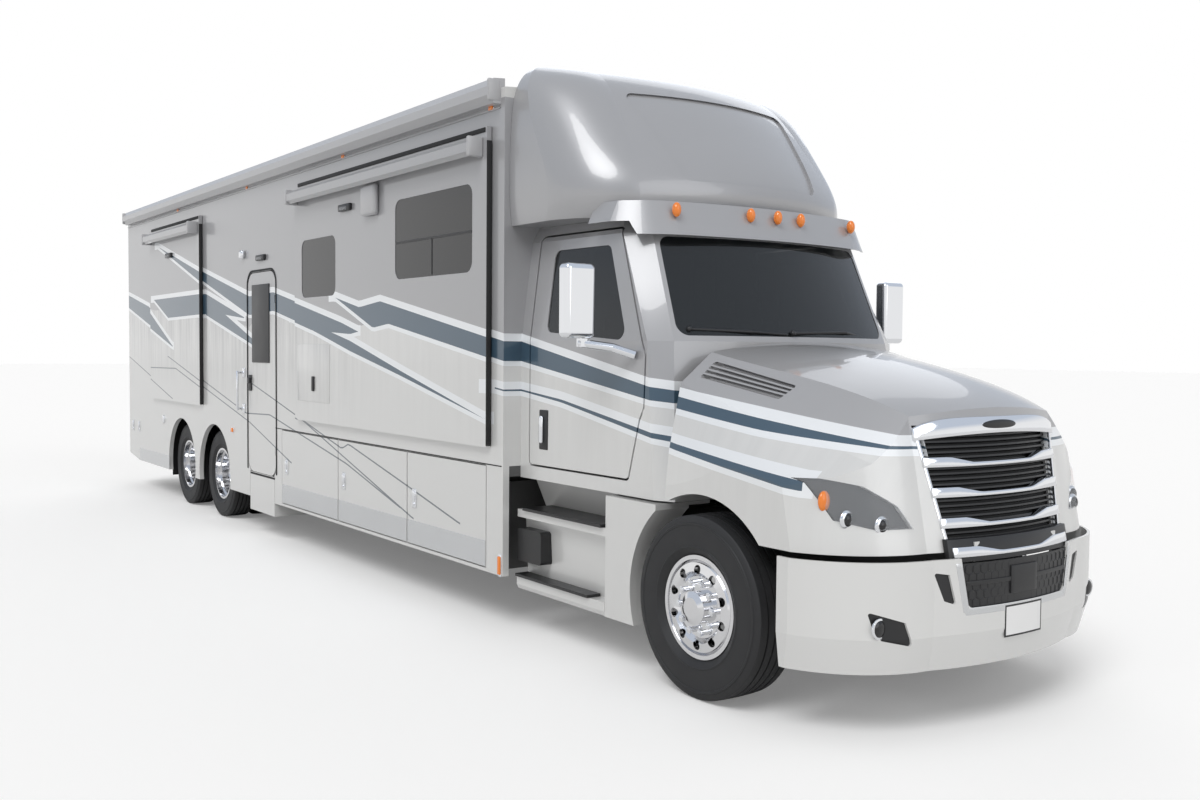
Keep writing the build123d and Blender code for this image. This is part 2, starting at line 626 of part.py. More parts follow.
def bumper():
    """Wrap-round bumper shell with its lower grille, fog lamp pods and air inlets."""
    rear = STEER_X + BUMPER_SIDE_X
    mid_z = BUMPER_LOW_Z + 190

    def form(inset, low, high, back):
        bottom = nose_outline(low, inset, back, rake=45, taper=25)
        middle = nose_outline(mid_z, inset, back)
        top = nose_outline(high, inset, back, rake=0)
        return loft([bottom, middle], ruled=True) + loft([middle, top], ruled=True)

    shell = form(0, BUMPER_LOW_Z, BUMPER_TOP_Z, rear)
    shell -= form(BUMPER_WALL, BUMPER_LOW_Z - 1, BUMPER_TOP_Z + 1, rear - 200)
    shell -= rod(STEER_X, 0, STEER_TYRE_R, STEER_ARCH_R, 4 * HALF_WIDTH, "y")
    shell -= grille_opening()
    # Arms back to the outer faces of the frame rails
    low, high = RAIL_Z + 10, RAIL_Z + 110
    arm = block(NOSE_X - 420, NOSE_X - 200, RAIL_OUT + SEAT_GAP, 570, low, high)
    arm += block(NOSE_X - 240, NOSE_X, 500, 570, low, high)
    arm &= form(BUMPER_WALL / 2, BUMPER_LOW_Z, BUMPER_TOP_Z, rear - 200)
    shell += arm + mirrored(arm)
    for y in (-PLATE_SPACING_Y / 2, PLATE_SPACING_Y / 2):
        for z in (PLATE_Z - PLATE_SPACING_Z / 2, PLATE_Z + PLATE_SPACING_Z / 2):
            shell -= rod(NOSE_X, y, z, PLATE_HOLE_R, 160, "x")
    front_skin = form(BUMPER_WALL - 6, BUMPER_LOW_Z, BUMPER_TOP_Z, rear)
    back_skin = form(BUMPER_WALL + 4, BUMPER_LOW_Z - 1, BUMPER_TOP_Z + 1, rear - 200)
    backing = front_skin - back_skin
    below = block(STEER_X, NOSE_X, -HALF_WIDTH, HALF_WIDTH, 0, LOWER_GRILLE_TOP)
    inserts = (backing & grille_opening() & below).solids()
    for outline in (FOG_POD, AIR_INLET):
        zone = prism_x(outline, NOSE_X - CORNER_BACK, CORNER_BACK, POD_R)
        shell -= zone
        shell -= mirrored(zone)
        insert = backing & zone
        inserts += [*insert.solids(), *mirrored(insert).solids()]
    return {"bumper": shell, "bumper_grille": Compound(children=inserts)}


def grille_opening():
    """The bumper's lower grille opening, carried through the front."""
    low, high = LOWER_GRILLE_Z, BUMPER_TOP_Z + 10
    narrow, wide = LOWER_GRILLE_HALF
    face = make_face(
        Polyline((0, -narrow, low), (0, narrow, low), (0, wide, high), (0, -wide, high), close=True)
    )
    face = fillet(face.vertices().sort_by(Axis.Z)[:2], 50)
    return Pos(NOSE_X - 250, 0, 0) * extrude(face, amount=300, dir=(1, 0, 0))


# Hood sections, rows of: x from the steer axle, crown z, then y and z of shoulder, crease and flank
HOOD_ROWS = (
    (-310.0, 2050.0, 840.0, 1985.0, 1080.0, 1800.0, 1165.0, 1400.0),
    (350.0, 1940.0, 740.0, 1850.0, 1010.0, 1610.0, 1195.0, 1330.0),
    (800.0, 1815.0, 660.0, 1735.0, 920.0, 1480.0, 1205.0, 1240.0),
    (1200.0, 1640.0, 560.0, 1560.0, 800.0, 1330.0, 1190.0, 1120.0),
)
HOOD_SKIN = 40.0
HOOD_LOW_Z = BUMPER_TOP_Z + 25.0
HOOD_REAR_LOW_Z = 1110.0
GRILLE_ROWS = ((1000.0, 470.0), (1590.0, 560.0))  # z, half-width of the grille opening
VENT_ENDS = ((-235.0, 1930.0, 1835.0), (320.0, 1800.0, 1725.0))  # rear and front end: x, top z, bottom z
VENT_LEAN = 40.0  # how far the front end's top is ahead of its foot
VENT_Y = 600.0  # inside the vent
VENT_DEPTH = 20.0
VENT_FIN = 8.0
VENT_FINS = (0.25, 0.5, 0.75)  # share of the vent's height


def hood_section(row, inset):
    """One closed cross-section of the hood, looking along the vehicle."""
    x, crown, sy, sz, cy, cz, fy, fz = row
    x += STEER_X
    low = HOOD_LOW_Z - 1 if not inset else HOOD_LOW_Z - 200
    half = [
        (BUMPER_HALF - 12 - inset, low),
        (fy - inset, fz),
        (cy - inset, cz - inset * 0.5),
        (sy - inset * 0.4, sz - inset),
    ]
    right = Polyline(*[(x, y, z) for y, z in half])
    left = Polyline(*[(x, -y, z) for y, z in reversed(half)])
    top = ThreePointArc(
        (x, half[-1][0], half[-1][1]), (x, 0, crown - inset), (x, -half[-1][0], half[-1][1])
    )
    floor = Line((x, -half[0][0], half[0][1]), (x, half[0][0], half[0][1]))
    return make_face([*right.edges(), top, *left.edges(), floor])


def hood_form(inset):
    """The hood as one solid, smaller by the inset: lofted sections within the raked nose outline."""
    rows = list(HOOD_ROWS)
    body = loft([hood_section(row, inset) for row in rows])
    base = nose_outline(HOOD_LOW_Z - 250, inset + 38, STEER_X - 500, rake=-28)
    top = nose_outline(2100, inset + 38, STEER_X - 500, rake=255)
    return body & loft([base, top], ruled=True)


def hood():
    """Tilting hood with fenders, grille opening and pivot ears."""
    shell = hood_form(0) - hood_form(HOOD_SKIN)
    front = STEER_X + HOOD_ROWS[0][0]
    # Open at the firewall
    x0 = front - 1
    shell -= block(x0, front + 80, -BUMPER_HALF, BUMPER_HALF, 0, HOOD_REAR_LOW_Z)
    back = hood_section(HOOD_ROWS[0], HOOD_SKIN)
    shell -= Pos(-1, 0, 0) * extrude(back, amount=HOOD_SKIN * 3, dir=(1, 0, 0))
    shell -= rod(STEER_X, 0, STEER_TYRE_R, STEER_ARCH_R, 4 * HALF_WIDTH, "y")
    shell -= block(front - 1, STEER_X, -BUMPER_HALF, BUMPER_HALF, 0, HOOD_REAR_LOW_Z)
    shell -= block(front - 1, NOSE_X, -BUMPER_HALF, BUMPER_HALF, 0, HOOD_LOW_Z)
    (z0, w0), (z1, w1) = GRILLE_ROWS
    shell -= prism_x([(-w0, z0), (w0, z0), (w1, z1), (-w1, z1)], GRILLE_BACK, GRILLE_REACH)
    # Louvred vents behind the engine's hot side
    panel = hood_form(0) - hood_form(VENT_DEPTH)
    (ax, a_top, a_low), (bx, b_top, b_low) = VENT_ENDS
    rear, tip = STEER_X + ax, STEER_X + bx
    outline = [(rear, a_low), (tip, b_low), (tip + VENT_LEAN, b_top), (rear, a_top)]
    vent = side_prism(outline, VENT_Y, BUMPER_HALF, 12)
    half = VENT_FIN / 2
    for share in VENT_FINS:
        za, zb = (low + share * (top - low) for top, low in ((a_top, a_low), (b_top, b_low)))
        end = tip + VENT_LEAN
        fin = [(rear, za - half), (end, zb - half), (end, zb + half), (rear, za + half)]
        vent -= side_prism(fin, VENT_Y, BUMPER_HALF)
    vent &= panel
    shell -= vent
    shell -= mirrored(vent)
    # Ears round the pivot shaft
    px, pz = HOOD_PIVOT
    for side in (-1, 1):
        y = side * (RAIL_OUT - 90)
        ear = block(px - 25, px + 20, y - 20, y + 20, pz, z0 + 5)
        ear += rod(px, y, pz, HOOD_PIN_R + 12, 40, "y")
        shell += ear
        shell -= rod(px, y, pz, HOOD_PIN_R + SEAT_GAP, 60, "y")
    return shell


GRILLE_BACK = STEER_X + 850.0  # where the grille's cut through the nose starts
GRILLE_REACH = 500.0
BAR_COUNT = 4
BAR_HEIGHT = 34.0
SURROUND = 55.0


def grille():
    """Chrome surround with four full-width bars, bowed with the hood's nose."""
    (z0, w0), (z1, w1) = GRILLE_ROWS
    skin = hood_form(-14) - hood_form(26)
    outer = [(-w0 - 4, z0 - 30), (w0 + 4, z0 - 30), (w1 + SURROUND, z1 + 20), (-w1 - SURROUND, z1 + 20)]
    outer[0] = (-w0 - SURROUND * 0.6, z0 - 30)
    outer[1] = (w0 + SURROUND * 0.6, z0 - 30)
    inner = [(-w0 + 4, z0 + 30), (w0 - 4, z0 + 30), (w1 - 4, z1 - 40), (-w1 + 4, z1 - 40)]
    hole = prism_x(inner, GRILLE_BACK, GRILLE_REACH)
    frame = skin & (prism_x(outer, GRILLE_BACK, GRILLE_REACH) - hole)
    step = (z1 - z0 - 70) / BAR_COUNT
    bar_skin = (hood_form(-2) - hood_form(30)) & hole
    for n in range(1, BAR_COUNT):
        z = z0 + 25 + n * step
        frame += bar_skin & block(STEER_X, NOSE_X, -w1, w1, z - BAR_HEIGHT / 2, z + BAR_HEIGHT / 2)
    return frame


def prism_x(points, start, depth, radius=0.0):
    """A YZ outline carried forward from a place along the vehicle, with its corners rounded."""
    face = make_face(Polyline(*[(0, y, z) for y, z in points], close=True))
    if radius:
        face = fillet_face(face, radius)
    return Pos(start, 0, 0) * extrude(face, amount=depth, dir=(1, 0, 0))


# Front cap over the cab, rows of: z, half-width, side end x, corner x, corner y, bow x, from the steer axle
CAP_ROWS = (
    (CAB_ROOF_Z + SEAT_GAP, 1235.0, -1560.0, -1010.0, 880.0, -860.0),
    (3020.0, 1250.0, -1500.0, -960.0, 900.0, -770.0),
    (3350.0, 1250.0, -1620.0, -1120.0, 860.0, -930.0),
    (3720.0, 1225.0, -1800.0, -1400.0, 800.0, -1230.0),
    (3965.0, 1060.0, -1940.0, -1830.0, 700.0, -1750.0),
)
CAP_SKIN = 45.0
# Recessed panel in the cap's face, seen from ahead as (y, z)
CAP_PANEL = ((-600.0, 3100.0), (600.0, 3100.0), (740.0, 3740.0), (-740.0, 3740.0))
CAP_PANEL_R = 60.0
CAP_PANEL_DEPTH = 20.0
CAP_BACK = COACH_X + 2.0


def cap_section(row, inset):
    """One plan outline of the front cap."""
    z, half, side_x, corner_x, corner_y, bow_x = row
    z -= inset if z == CAP_ROWS[-1][0] else 0
    side = (STEER_X + side_x, half - inset)
    corner = (STEER_X + corner_x - inset * 0.8, corner_y - inset * 0.5)
    mid_x = (side[0] + corner[0]) / 2 + (corner[0] - side[0]) * 0.12
    mid_y = (side[1] + corner[1]) / 2 + (side[1] - corner[1]) * 0.18
    back = CAP_BACK if not inset else CAP_BACK - 5
    edges = [
        Line((back, half - inset, z), (*side, z)),
        ThreePointArc((*side, z), (mid_x, mid_y, z), (*corner, z)),
        ThreePointArc((*corner, z), (STEER_X + bow_x - inset, 0, z), (corner[0], -corner[1], z)),
        ThreePointArc((corner[0], -corner[1], z), (mid_x, -mid_y, z), (side[0], -side[1], z)),
        Line((side[0], -side[1], z), (back, inset - half, z)),
        Line((back, inset - half, z), (back, half - inset, z)),
    ]
    return make_face(edges)


def front_cap():
    """Moulded cap over the cab: a shell open to the coach behind it."""
    outer = loft([cap_section(row, 0) for row in CAP_ROWS])
    inner = loft([cap_section(row, CAP_SKIN) for row in CAP_ROWS])
    panel = loft([cap_section(row, CAP_PANEL_DEPTH) for row in CAP_ROWS])
    recess = (outer - panel) & prism_x(CAP_PANEL, COACH_X + CAP_SKIN, STEER_X - COACH_X, CAP_PANEL_R)
    return outer - inner + extrude(cap_section(CAP_ROWS[0], 0), amount=CAP_SKIN) - recess


VISOR_Z = (2720.0, 2940.0)
VISOR_LIFT = 85.0  # the visor's side edges above its front edge


def visor():
    """Sun visor that wraps the top of the screen."""
    low, high = VISOR_Z

    def plan(z, out):
        rear = (STEER_X - 1180, 1130 + out)
        side = (STEER_X - 960, 1115 + out)
        bend = (STEER_X - 800 + out, 960)
        corner = (STEER_X - 730 + out, 800)
        nose = (STEER_X - 640 + out, 0, z)
        right = [(x, -y, z) for x, y in (rear, side, bend, corner)]
        left = [(x, y, z) for x, y in (rear, side, bend, corner)]
        edges = [
            Line(left[0], left[1]),
            ThreePointArc(*left[1:]),
            ThreePointArc(left[3], nose, right[3]),
            ThreePointArc(right[3], right[2], right[1]),
            Line(right[1], right[0]),
            Line(right[0], left[0]),
        ]
        return make_face(edges)

    outer = loft([plan(low, 60), plan(high, -40)], ruled=True)
    inner = loft([plan(low - 1, 42), plan(high + 1, -58)], ruled=True)
    roofed = outer - inner
    roof_z = high - 16
    lid = outer & block(STEER_X - 1400, NOSE_X, -1400, 1400, roof_z, high)
    cap = loft([cap_section(row, 0) for row in CAP_ROWS])
    trimmed = (roofed + lid) - cap - Pos(SEAT_GAP, 0, 0) * cap
    trimmed -= cab_form(0)
    # Cut away over the cab doors' swing
    lift = low + VISOR_LIFT
    swing = [(STEER_X + x, z) for x, z in ((-1200, low - 1), (-800, low - 1), (-860, lift), (-1200, lift))]
    trimmed -= side_prism(swing, -HALF_WIDTH, HALF_WIDTH)
    return trimmed.solids().sort_by(SortBy.VOLUME)[-1]


def fairing_body():
    """The left step fairing as a solid block, with its ledges."""
    back, front = COACH_X + 30, STEER_X - 400
    out = FAIRING_OUT
    step_end = STEER_X - STEER_ARCH_R - 260
    low_step, high_step = STEP_ZS
    profile = [(FAIRING_IN, FAIRING_LOW_Z), (out - 10, FAIRING_LOW_Z), (out + 5, FAIRING_LOW_Z + 30)]
    profile += [(out + 5, low_step), (out - 90, low_step), (out - 70, 790), (out, 810), (out, high_step)]
    profile += [(out - 240, high_step), (out - 150, FAIRING_TOP_Z), (FAIRING_IN, FAIRING_TOP_Z)]
    face = make_face(Polyline(*[(back, y, z) for y, z in profile], close=True))
    body = extrude(face, amount=step_end - back, dir=(1, 0, 0))
    body += block(step_end, front, FAIRING_IN, out, FAIRING_LOW_Z, FAIRING_TOP_Z)
    return body - rod(STEER_X, 0, STEER_TYRE_R, STEER_ARCH_R, 4 * HALF_WIDTH, "y")


def fairings():
    """Step fairings under the cab doors, cut round the steer wheels and open towards the frame."""
    body = fairing_body()
    low, high = FAIRING_LOW_Z + 20, FAIRING_TOP_Z - 20
    body -= block(COACH_X + 60, STEER_X - 400, FAIRING_IN - 1, FAIRING_OUT - FAIRING_THICK, low, high)
    return both(body.solids().sort_by(SortBy.VOLUME)[-1])


STEP_ZS = (390.0, 865.0)
TREAD = 20.0
SERVICE_BOX_ZS = (505.0, 735.0)


def treads():
    """Chequered step treads on the fairings' ledges."""
    low, high = STEP_ZS
    end = STEER_X - STEER_ARCH_R - 280
    pads = [block(COACH_X + 40, end - 140, FAIRING_OUT - 80, FAIRING_OUT + 25, low + SEAT_GAP, low + TREAD)]
    lip = FAIRING_OUT + 25
    pads.append(block(COACH_X + 130, end, FAIRING_OUT - 225, lip, high + SEAT_GAP, high + TREAD))
    # Black service box between the steps
    box = block(COACH_X + 45, COACH_X + 350, FAIRING_IN, FAIRING_OUT + 12, *SERVICE_BOX_ZS)
    pads.append(fillet(box.edges().filter_by(Axis.Y), 25) - fairing_body())
    return Compound(children=[s for p in pads for s in (*p.solids(), *mirrored(p).solids())])


def tyre_profile(radius, width, y):
    """Half section of a tyre in the XY plane, as a closed face: x is the radius."""
    half = width / 2
    tread = half - 28
    bore = BEAD_R + SEAT_GAP / 2
    lip = RIM_R + SEAT_GAP
    bead = half * BEAD_SHARE - SEAT_GAP
    edges = [
        Line((bore, y - bead), (bore, y + bead)),
        Line((bore, y + bead), (lip, y + bead)),
        ThreePointArc((lip, y + bead), ((lip + radius) / 2 - 10, y + half), (radius - 32, y + half - 14)),
        Line((radius - 32, y + half - 14), (radius - 6, y + tread)),
        ThreePointArc((radius - 6, y + tread), (radius, y), (radius - 6, y - tread)),
        Line((radius - 6, y - tread), (radius - 32, y - half + 14)),
        ThreePointArc((radius - 32, y - half + 14), ((lip + radius) / 2 - 10, y - half), (lip, y - bead)),
        Line((lip, y - bead), (bore, y - bead)),
    ]
    return make_face(edges)


def spin(face):
    """A section turned about the Y axis."""
    return revolve(face, axis=Axis.Y)


def rim_profile(width, y):
    """A rim's section: flanges, bead seats and drop centre."""
    half = width * BEAD_SHARE / 2
    edge = half + RIM_LIP
    drop = BEAD_R - DROP_CENTRE
    outside = [(RIM_R, edge), (RIM_R, half), (BEAD_R, half), (BEAD_R, half * 0.55), (drop, half * 0.45)]
    inside = [(drop - RIM_THICK, half * 0.5), (BEAD_R - RIM_THICK, half * 0.6), (BEAD_R - RIM_THICK, edge)]
    lower = [(r, y - across) for r, across in outside]
    upper = [(r, y + across) for r, across in reversed(outside)]
    back = [(r, y + across) for r, across in reversed(inside)] + [(r, y - across) for r, across in inside]
    return lower + upper + back


def turned(points):
    """A turned ring from its section, as (radius, y) points."""
    return spin(make_face(Polyline(*points, close=True)))


def ring_of(count, radius, start, make):
    """Copies of a piece round the Y axis."""
    shapes = None
    for n in range(count):
        a = start + 360.0 * n / count
        piece = Rot(0, a, 0) * Pos(radius, 0, 0) * make()
        shapes = piece if shapes is None else shapes + piece
    return shapes


def hand_holes(y):
    """The ring of hand holes through the discs round a place along Y."""
    reach = 2 * DUAL_SPACING
    return ring_of(HAND_HOLES, HAND_HOLE_PCR, 18, lambda: rod(0, y, 0, HAND_HOLE_R, reach, "y"))


def lug_ring(y):
    """Wheel nuts standing out from a disc face at a place along Y."""
    middle = y - LUG_LENGTH / 2 + 2
    return ring_of(LUG_COUNT, LUG_PCR, 0, lambda: rod(0, middle, 0, LUG_R, LUG_LENGTH, "y"))


def steer_wheel_parts():
    """Right steer wheel about its own centre, outer face towards -Y."""
    tyre = spin(tyre_profile(STEER_TYRE_R, STEER_TYRE_W, 0))
    rim = turned(rim_profile(STEER_TYRE_W, 0))
    # The disc is convex towards the outside
    face = -112.0
    back = face + DISC_THICK
    front_side = [(BEAD_R - 8, -100), (BEAD_R - 30, -128), (205, -138), (176, face), (60, face)]
    rear_side = [(60, back), (168, back), (198, -116), (BEAD_R - 50, -104)]
    rear_side += [(BEAD_R - 26, -74), (BEAD_R - 8, -74)]
    disc = turned(front_side + rear_side) - hand_holes(face)
    bore = SPINDLE_R + SEAT_GAP
    hub = [(bore, -130), (bore, 28), (120, 28), (120, -93), (95, face)]
    hub += [(95, -165), (62, -182), (0, -182), (0, -130)]
    return tyre, rim + disc + turned(hub) + lug_ring(face)


def drive_wheel_parts():
    """Right twin drive wheels about the outer wheel's centre, outer face towards -Y."""
    centres = (0.0, DUAL_SPACING)
    tyres = [s for y in centres for s in spin(tyre_profile(DRIVE_TYRE_R, DRIVE_TYRE_W, y)).solids()]
    rims = turned(rim_profile(DRIVE_TYRE_W, centres[0])) + turned(rim_profile(DRIVE_TYRE_W, centres[1]))
    mid = DUAL_SPACING / 2
    # Each disc runs from its rim to the joint face between the wheels: (radius, distance from that face)
    section = [(BEAD_R - 40, mid - 30), (BEAD_R - 40, mid - 58), (205, 24), (170, 0), (100, 0)]
    section += [(100, DISC_THICK), (165, DISC_THICK), (195, 50)]
    outer_disc, inner_disc = (turned([(r, mid + way * away) for r, away in section]) for way in (-1, 1))
    discs = outer_disc + inner_disc - hand_holes(mid)
    bore = SPINDLE_R + SEAT_GAP
    hub = [(bore, 10), (bore, mid + 90), (120, mid + 90), (120, mid - 40), (98, mid - 60), (98, 0)]
    hub += [(70, -22), (0, -22), (0, 10)]
    return Compound(children=tyres), rims + discs + turned(hub) + lug_ring(mid - DISC_THICK)


def axles():
    """Steer axle with kingpins and springs, knuckles, and the two linked drive axles."""
    z = STEER_TYRE_R
    centre = WHEEL_FACE_Y - STEER_TYRE_W / 2
    pieces = {}
    beam = block(STEER_X - 55, STEER_X + 55, -600, 600, z - 110, z)
    arm = block(STEER_X - 45, STEER_X + 45, 560, KINGPIN_Y - 30, z - 45, z + 45)
    boss = rod(STEER_X, KINGPIN_Y, z, 48, 90, "z") + rod(STEER_X, KINGPIN_Y, z, KINGPIN_R, 240, "z")
    spring_y = RAIL_OUT - RAIL_FLANGE / 2
    spring = block(STEER_X - 780, STEER_X + 780, spring_y - 42, spring_y + 42, z - 5, z + 60)
    for x in (STEER_X - 780, STEER_X + 720):
        spring += block(x, x + 60, spring_y - 30, spring_y + 30, z + 59, RAIL_Z)
    half = arm + boss + spring
    pieces["steer_axle"] = beam + half + mirrored(half)
    fork_gap = 45 + 5
    arms = block(STEER_X - 42, STEER_X + 42, KINGPIN_Y - 42, KINGPIN_Y + 78, z - 110, z + 110)
    arms -= block(STEER_X - 50, STEER_X + 50, KINGPIN_Y - 60, KINGPIN_Y + 55, z - fork_gap, z + fork_gap)
    arms -= rod(STEER_X, KINGPIN_Y, z, KINGPIN_R + SEAT_GAP, 400, "z")
    tip = centre + 128
    spindle = rod(STEER_X, (KINGPIN_Y + 60 + tip) / 2, z, SPINDLE_R, tip - KINGPIN_Y - 60, "y")
    knuckle = arms + spindle
    pieces["knuckle_left"] = knuckle
    pieces["knuckle_right"] = mirrored(knuckle)
    # Drive axles
    zr = DRIVE_TYRE_R
    outer = WHEEL_FACE_Y - DRIVE_TYRE_W / 2
    whole = None
    for x in DRIVE_XS:
        axle = rod(x, 0, zr, 78, 2 * (outer - DUAL_SPACING - 60), "y")
        axle += rod(x, 0, zr, SPINDLE_R, 2 * (outer - 12), "y")
        axle += rod(x, 0, zr, 190, 240, "y")
        for side in (-1, 1):
            axle += block(x - 70, x + 70, side * (spring_y - 40), side * (spring_y + 40), zr, RAIL_Z)
        whole = axle if whole is None else whole + axle
    for side in (-1, 1):
        whole += block(*DRIVE_XS, side * (spring_y - 30), side * (spring_y + 30), zr + 20, zr + 90)
    whole += rod(sum(DRIVE_XS) / 2, 0, zr + 60, 50, TANDEM, "x")
    shaft_end = STEER_X - 1300
    whole += rod((DRIVE_XS[0] + shaft_end) / 2, 0, zr + 60, 55, shaft_end - DRIVE_XS[0], "x")
    pieces["drive_axles"] = whole
    return pieces


def powertrain():
    """Engine with its gearbox as plain blocks, and the radiator on the rails."""
    top = RAIL_Z + RAIL_HEIGHT
    engine = block(STEER_X - 220, STEER_X + 820, -380, 380, top, 1560)
    engine += block(STEER_X - 220, STEER_X + 820, -320, 320, RAIL_Z - 60, top)
    engine += block(STEER_X - 1300, STEER_X - 220, -230, 230, DRIVE_TYRE_R - 40, RAIL_Z + RAIL_HEIGHT - 10)
    radiator = block(STEER_X + 880, STEER_X + 970, -430, 430, top, 1500)
    return {"powertrain": Compound(children=[*engine.solids(), *radiator.solids()])}


def mirrors():
    """Door mirrors: a foot on the door, a swept arm and the head."""
    x = STEER_X - 880
    head = block(x - 55, x + 55, -1550, -1330, 2060, 2520)
    head = fillet(head.edges(), 34)
    foot_z = 1960.0
    path = ((STEER_X - 690, -1128, foot_z), (STEER_X - 790, -1230, 2005), (x, -1400, 2030))
    arm = None
    for (ax, ay, az), (bx, by, bz) in zip(path, path[1:]):
        a, b = Vector(ax, ay, az), Vector(bx, by, bz)
        axis = (b - a).normalized()
        stick = extrude(Plane(origin=a, z_dir=axis) * Circle(28), amount=(b - a).length)
        stick += Pos(bx, by, bz) * Sphere(28)
        arm = stick if arm is None else arm + stick
    arm += block(x - 30, x + 30, -1420, -1380, 2010, 2075)
    return (head + arm) - cab_form(0)


def interior():
    """Seats and dashboard that show through the glass."""
    floor = CAB_FLOOR_Z + CAB_SKIN
    y = 560.0
    x = STEER_X - 1450
    seat = block(x - 30, x + 330, y - 170, y + 170, floor, floor + 320)
    seat += block(x - 80, x + 430, y - 250, y + 250, floor + 300, floor + 460)
    seat += block(x - 150, x - 20, y - 240, y + 240, floor + 320, floor + 1080)
    seat += block(x - 140, x - 40, y - 130, y + 130, floor + 1075, floor + 1230)
    seats = both(seat)
    dash = block(STEER_X - 860, STEER_X - 470, -880, 880, 1560, 1950)
    dash += block(STEER_X - 700, STEER_X - 420, -880, 880, floor, 1600)
    dash &= cab_form(CAB_SKIN + SEAT_GAP)
    column = Pos(STEER_X - 880, y, 1850) * Rot(0, -55, 0) * Cylinder(28, 260)
    wheel = Pos(STEER_X - 975, y, 1918) * Rot(0, -55, 0) * Torus(205, 17)
    spoke = Pos(STEER_X - 975, y, 1918) * Rot(0, -55, 0) * Box(40, 410, 16)
    return {"cab_seats": seats, "dashboard": dash + column + wheel + spoke}


def fittings():
    """Awning case, roof units, lamps and the entry step."""
    pieces = {}
    y = HALF_WIDTH
    # Out from the wall and up from the eaves
    profile = [(0, -40), (55, -40), (105, 10), (105, 70), (60, 130), (-30, 138)]
    profile += [(-30, ROOF_EDGE + 3), (0, ROOF_EDGE + SEAT_GAP)]
    face = make_face(Polyline(*[(TAIL_X + 180, -y - a, ROOF_Z + b) for a, b in profile], close=True))
    case = extrude(face, amount=COACH_X - TAIL_X - 230, dir=(1, 0, 0))
    pieces["patio_awning"] = case
    units = []
    for x in (COACH_X - 1600, COACH_X - 5000, COACH_X - 8600):
        z = ROOF_Z + ROOF_EDGE + ROOF_CROWN
        unit = block(x - 420, x + 420, -340, 340, z - 4, z + 95)
        unit = fillet(unit.edges().filter_by(Axis.Z), 90)
        units.append(unit)
    roof = coach_parts["coach_roof"]
    pieces["roof_air_conditioners"] = Compound(children=[s for u in units for s in (u - roof).solids()])
    lamps = []
    for side in (-1, 1):
        lamps.append(block(TAIL_X - 22, TAIL_X, side * 1130, side * 1010, 1020, 1420))
        lamps.append(block(TAIL_X - 22, TAIL_X, side * 1130, side * 1040, 3300, 3520))
    pieces["tail_lamps"] = Compound(children=[s for lamp in lamps for s in lamp.solids()])
    front, rear, low, _ = ENTRY
    x0, x1 = COACH_X - rear + STEP_INSET, COACH_X - front - STEP_INSET
    step = block(x0, x1, -HALF_WIDTH, -HALF_WIDTH + 14, STEP_LOW_Z, low - STEP_SILL_GAP)
    step += block(x0, x1, -HALF_WIDTH, -HALF_WIDTH + STEP_DEPTH, STEP_TOP_Z - 60, STEP_TOP_Z)
    step += block(x0, x1, -HALF_WIDTH, -HALF_WIDTH + STEP_DEPTH * 0.6, STEP_LOW_Z, STEP_LOW_Z + 14)
    inner = -HALF_WIDTH + STEP_DEPTH
    for x in (x0, x1 - STEP_PLATE):
        end = x + STEP_PLATE
        step += block(x, end, -HALF_WIDTH, -HALF_WIDTH + STEP_DEPTH * 0.6, STEP_LOW_Z, STEP_TOP_Z - 30)
        step += block(x, end, inner - 120, inner, STEP_TOP_Z - 30, FLOOR_Z - FLOOR_THICK)
    pieces["entry_step"] = step
    return pieces


def baggage_boxes():
    """Open-sided luggage trays hung under the floor behind the baggage doors."""
    trays = []
    for side, front, rear in ((-1, 200.0, 4380.0), (1, 200.0, 4470.0)):
        x0, x1 = COACH_X - rear, COACH_X - front
        y0, y1 = side * (RAIL_OUT + 12), side * (HALF_WIDTH - WALL - DOOR_GAP)
        under = FLOOR_Z - FLOOR_THICK - OUTRIGGER_HEIGHT - SEAT_GAP
        tray = block(x0, x1, y0, y1, SKIRT_Z + 5, under)
        skin = 12.0
        tray -= block(x0 + skin, x1 - skin, y0 + side * skin, y1 + side, SKIRT_Z + 5 + skin, under + 1)
        trays.append(tray)
    return Compound(children=trays)


def headlamps():
    """Swept headlamp units set into the hood's corners."""
    shell = hood_form(-10) - hood_form(HOOD_SKIN - 4)
    outline = ((1140, 1335), (1080, 1340), (930, 1305), (770, 1200), (700, 1085), (900, 1085), (1060, 1130))
    return shell, prism_x(outline, STEER_X + 650, 700)


coach_parts = coach_shell()


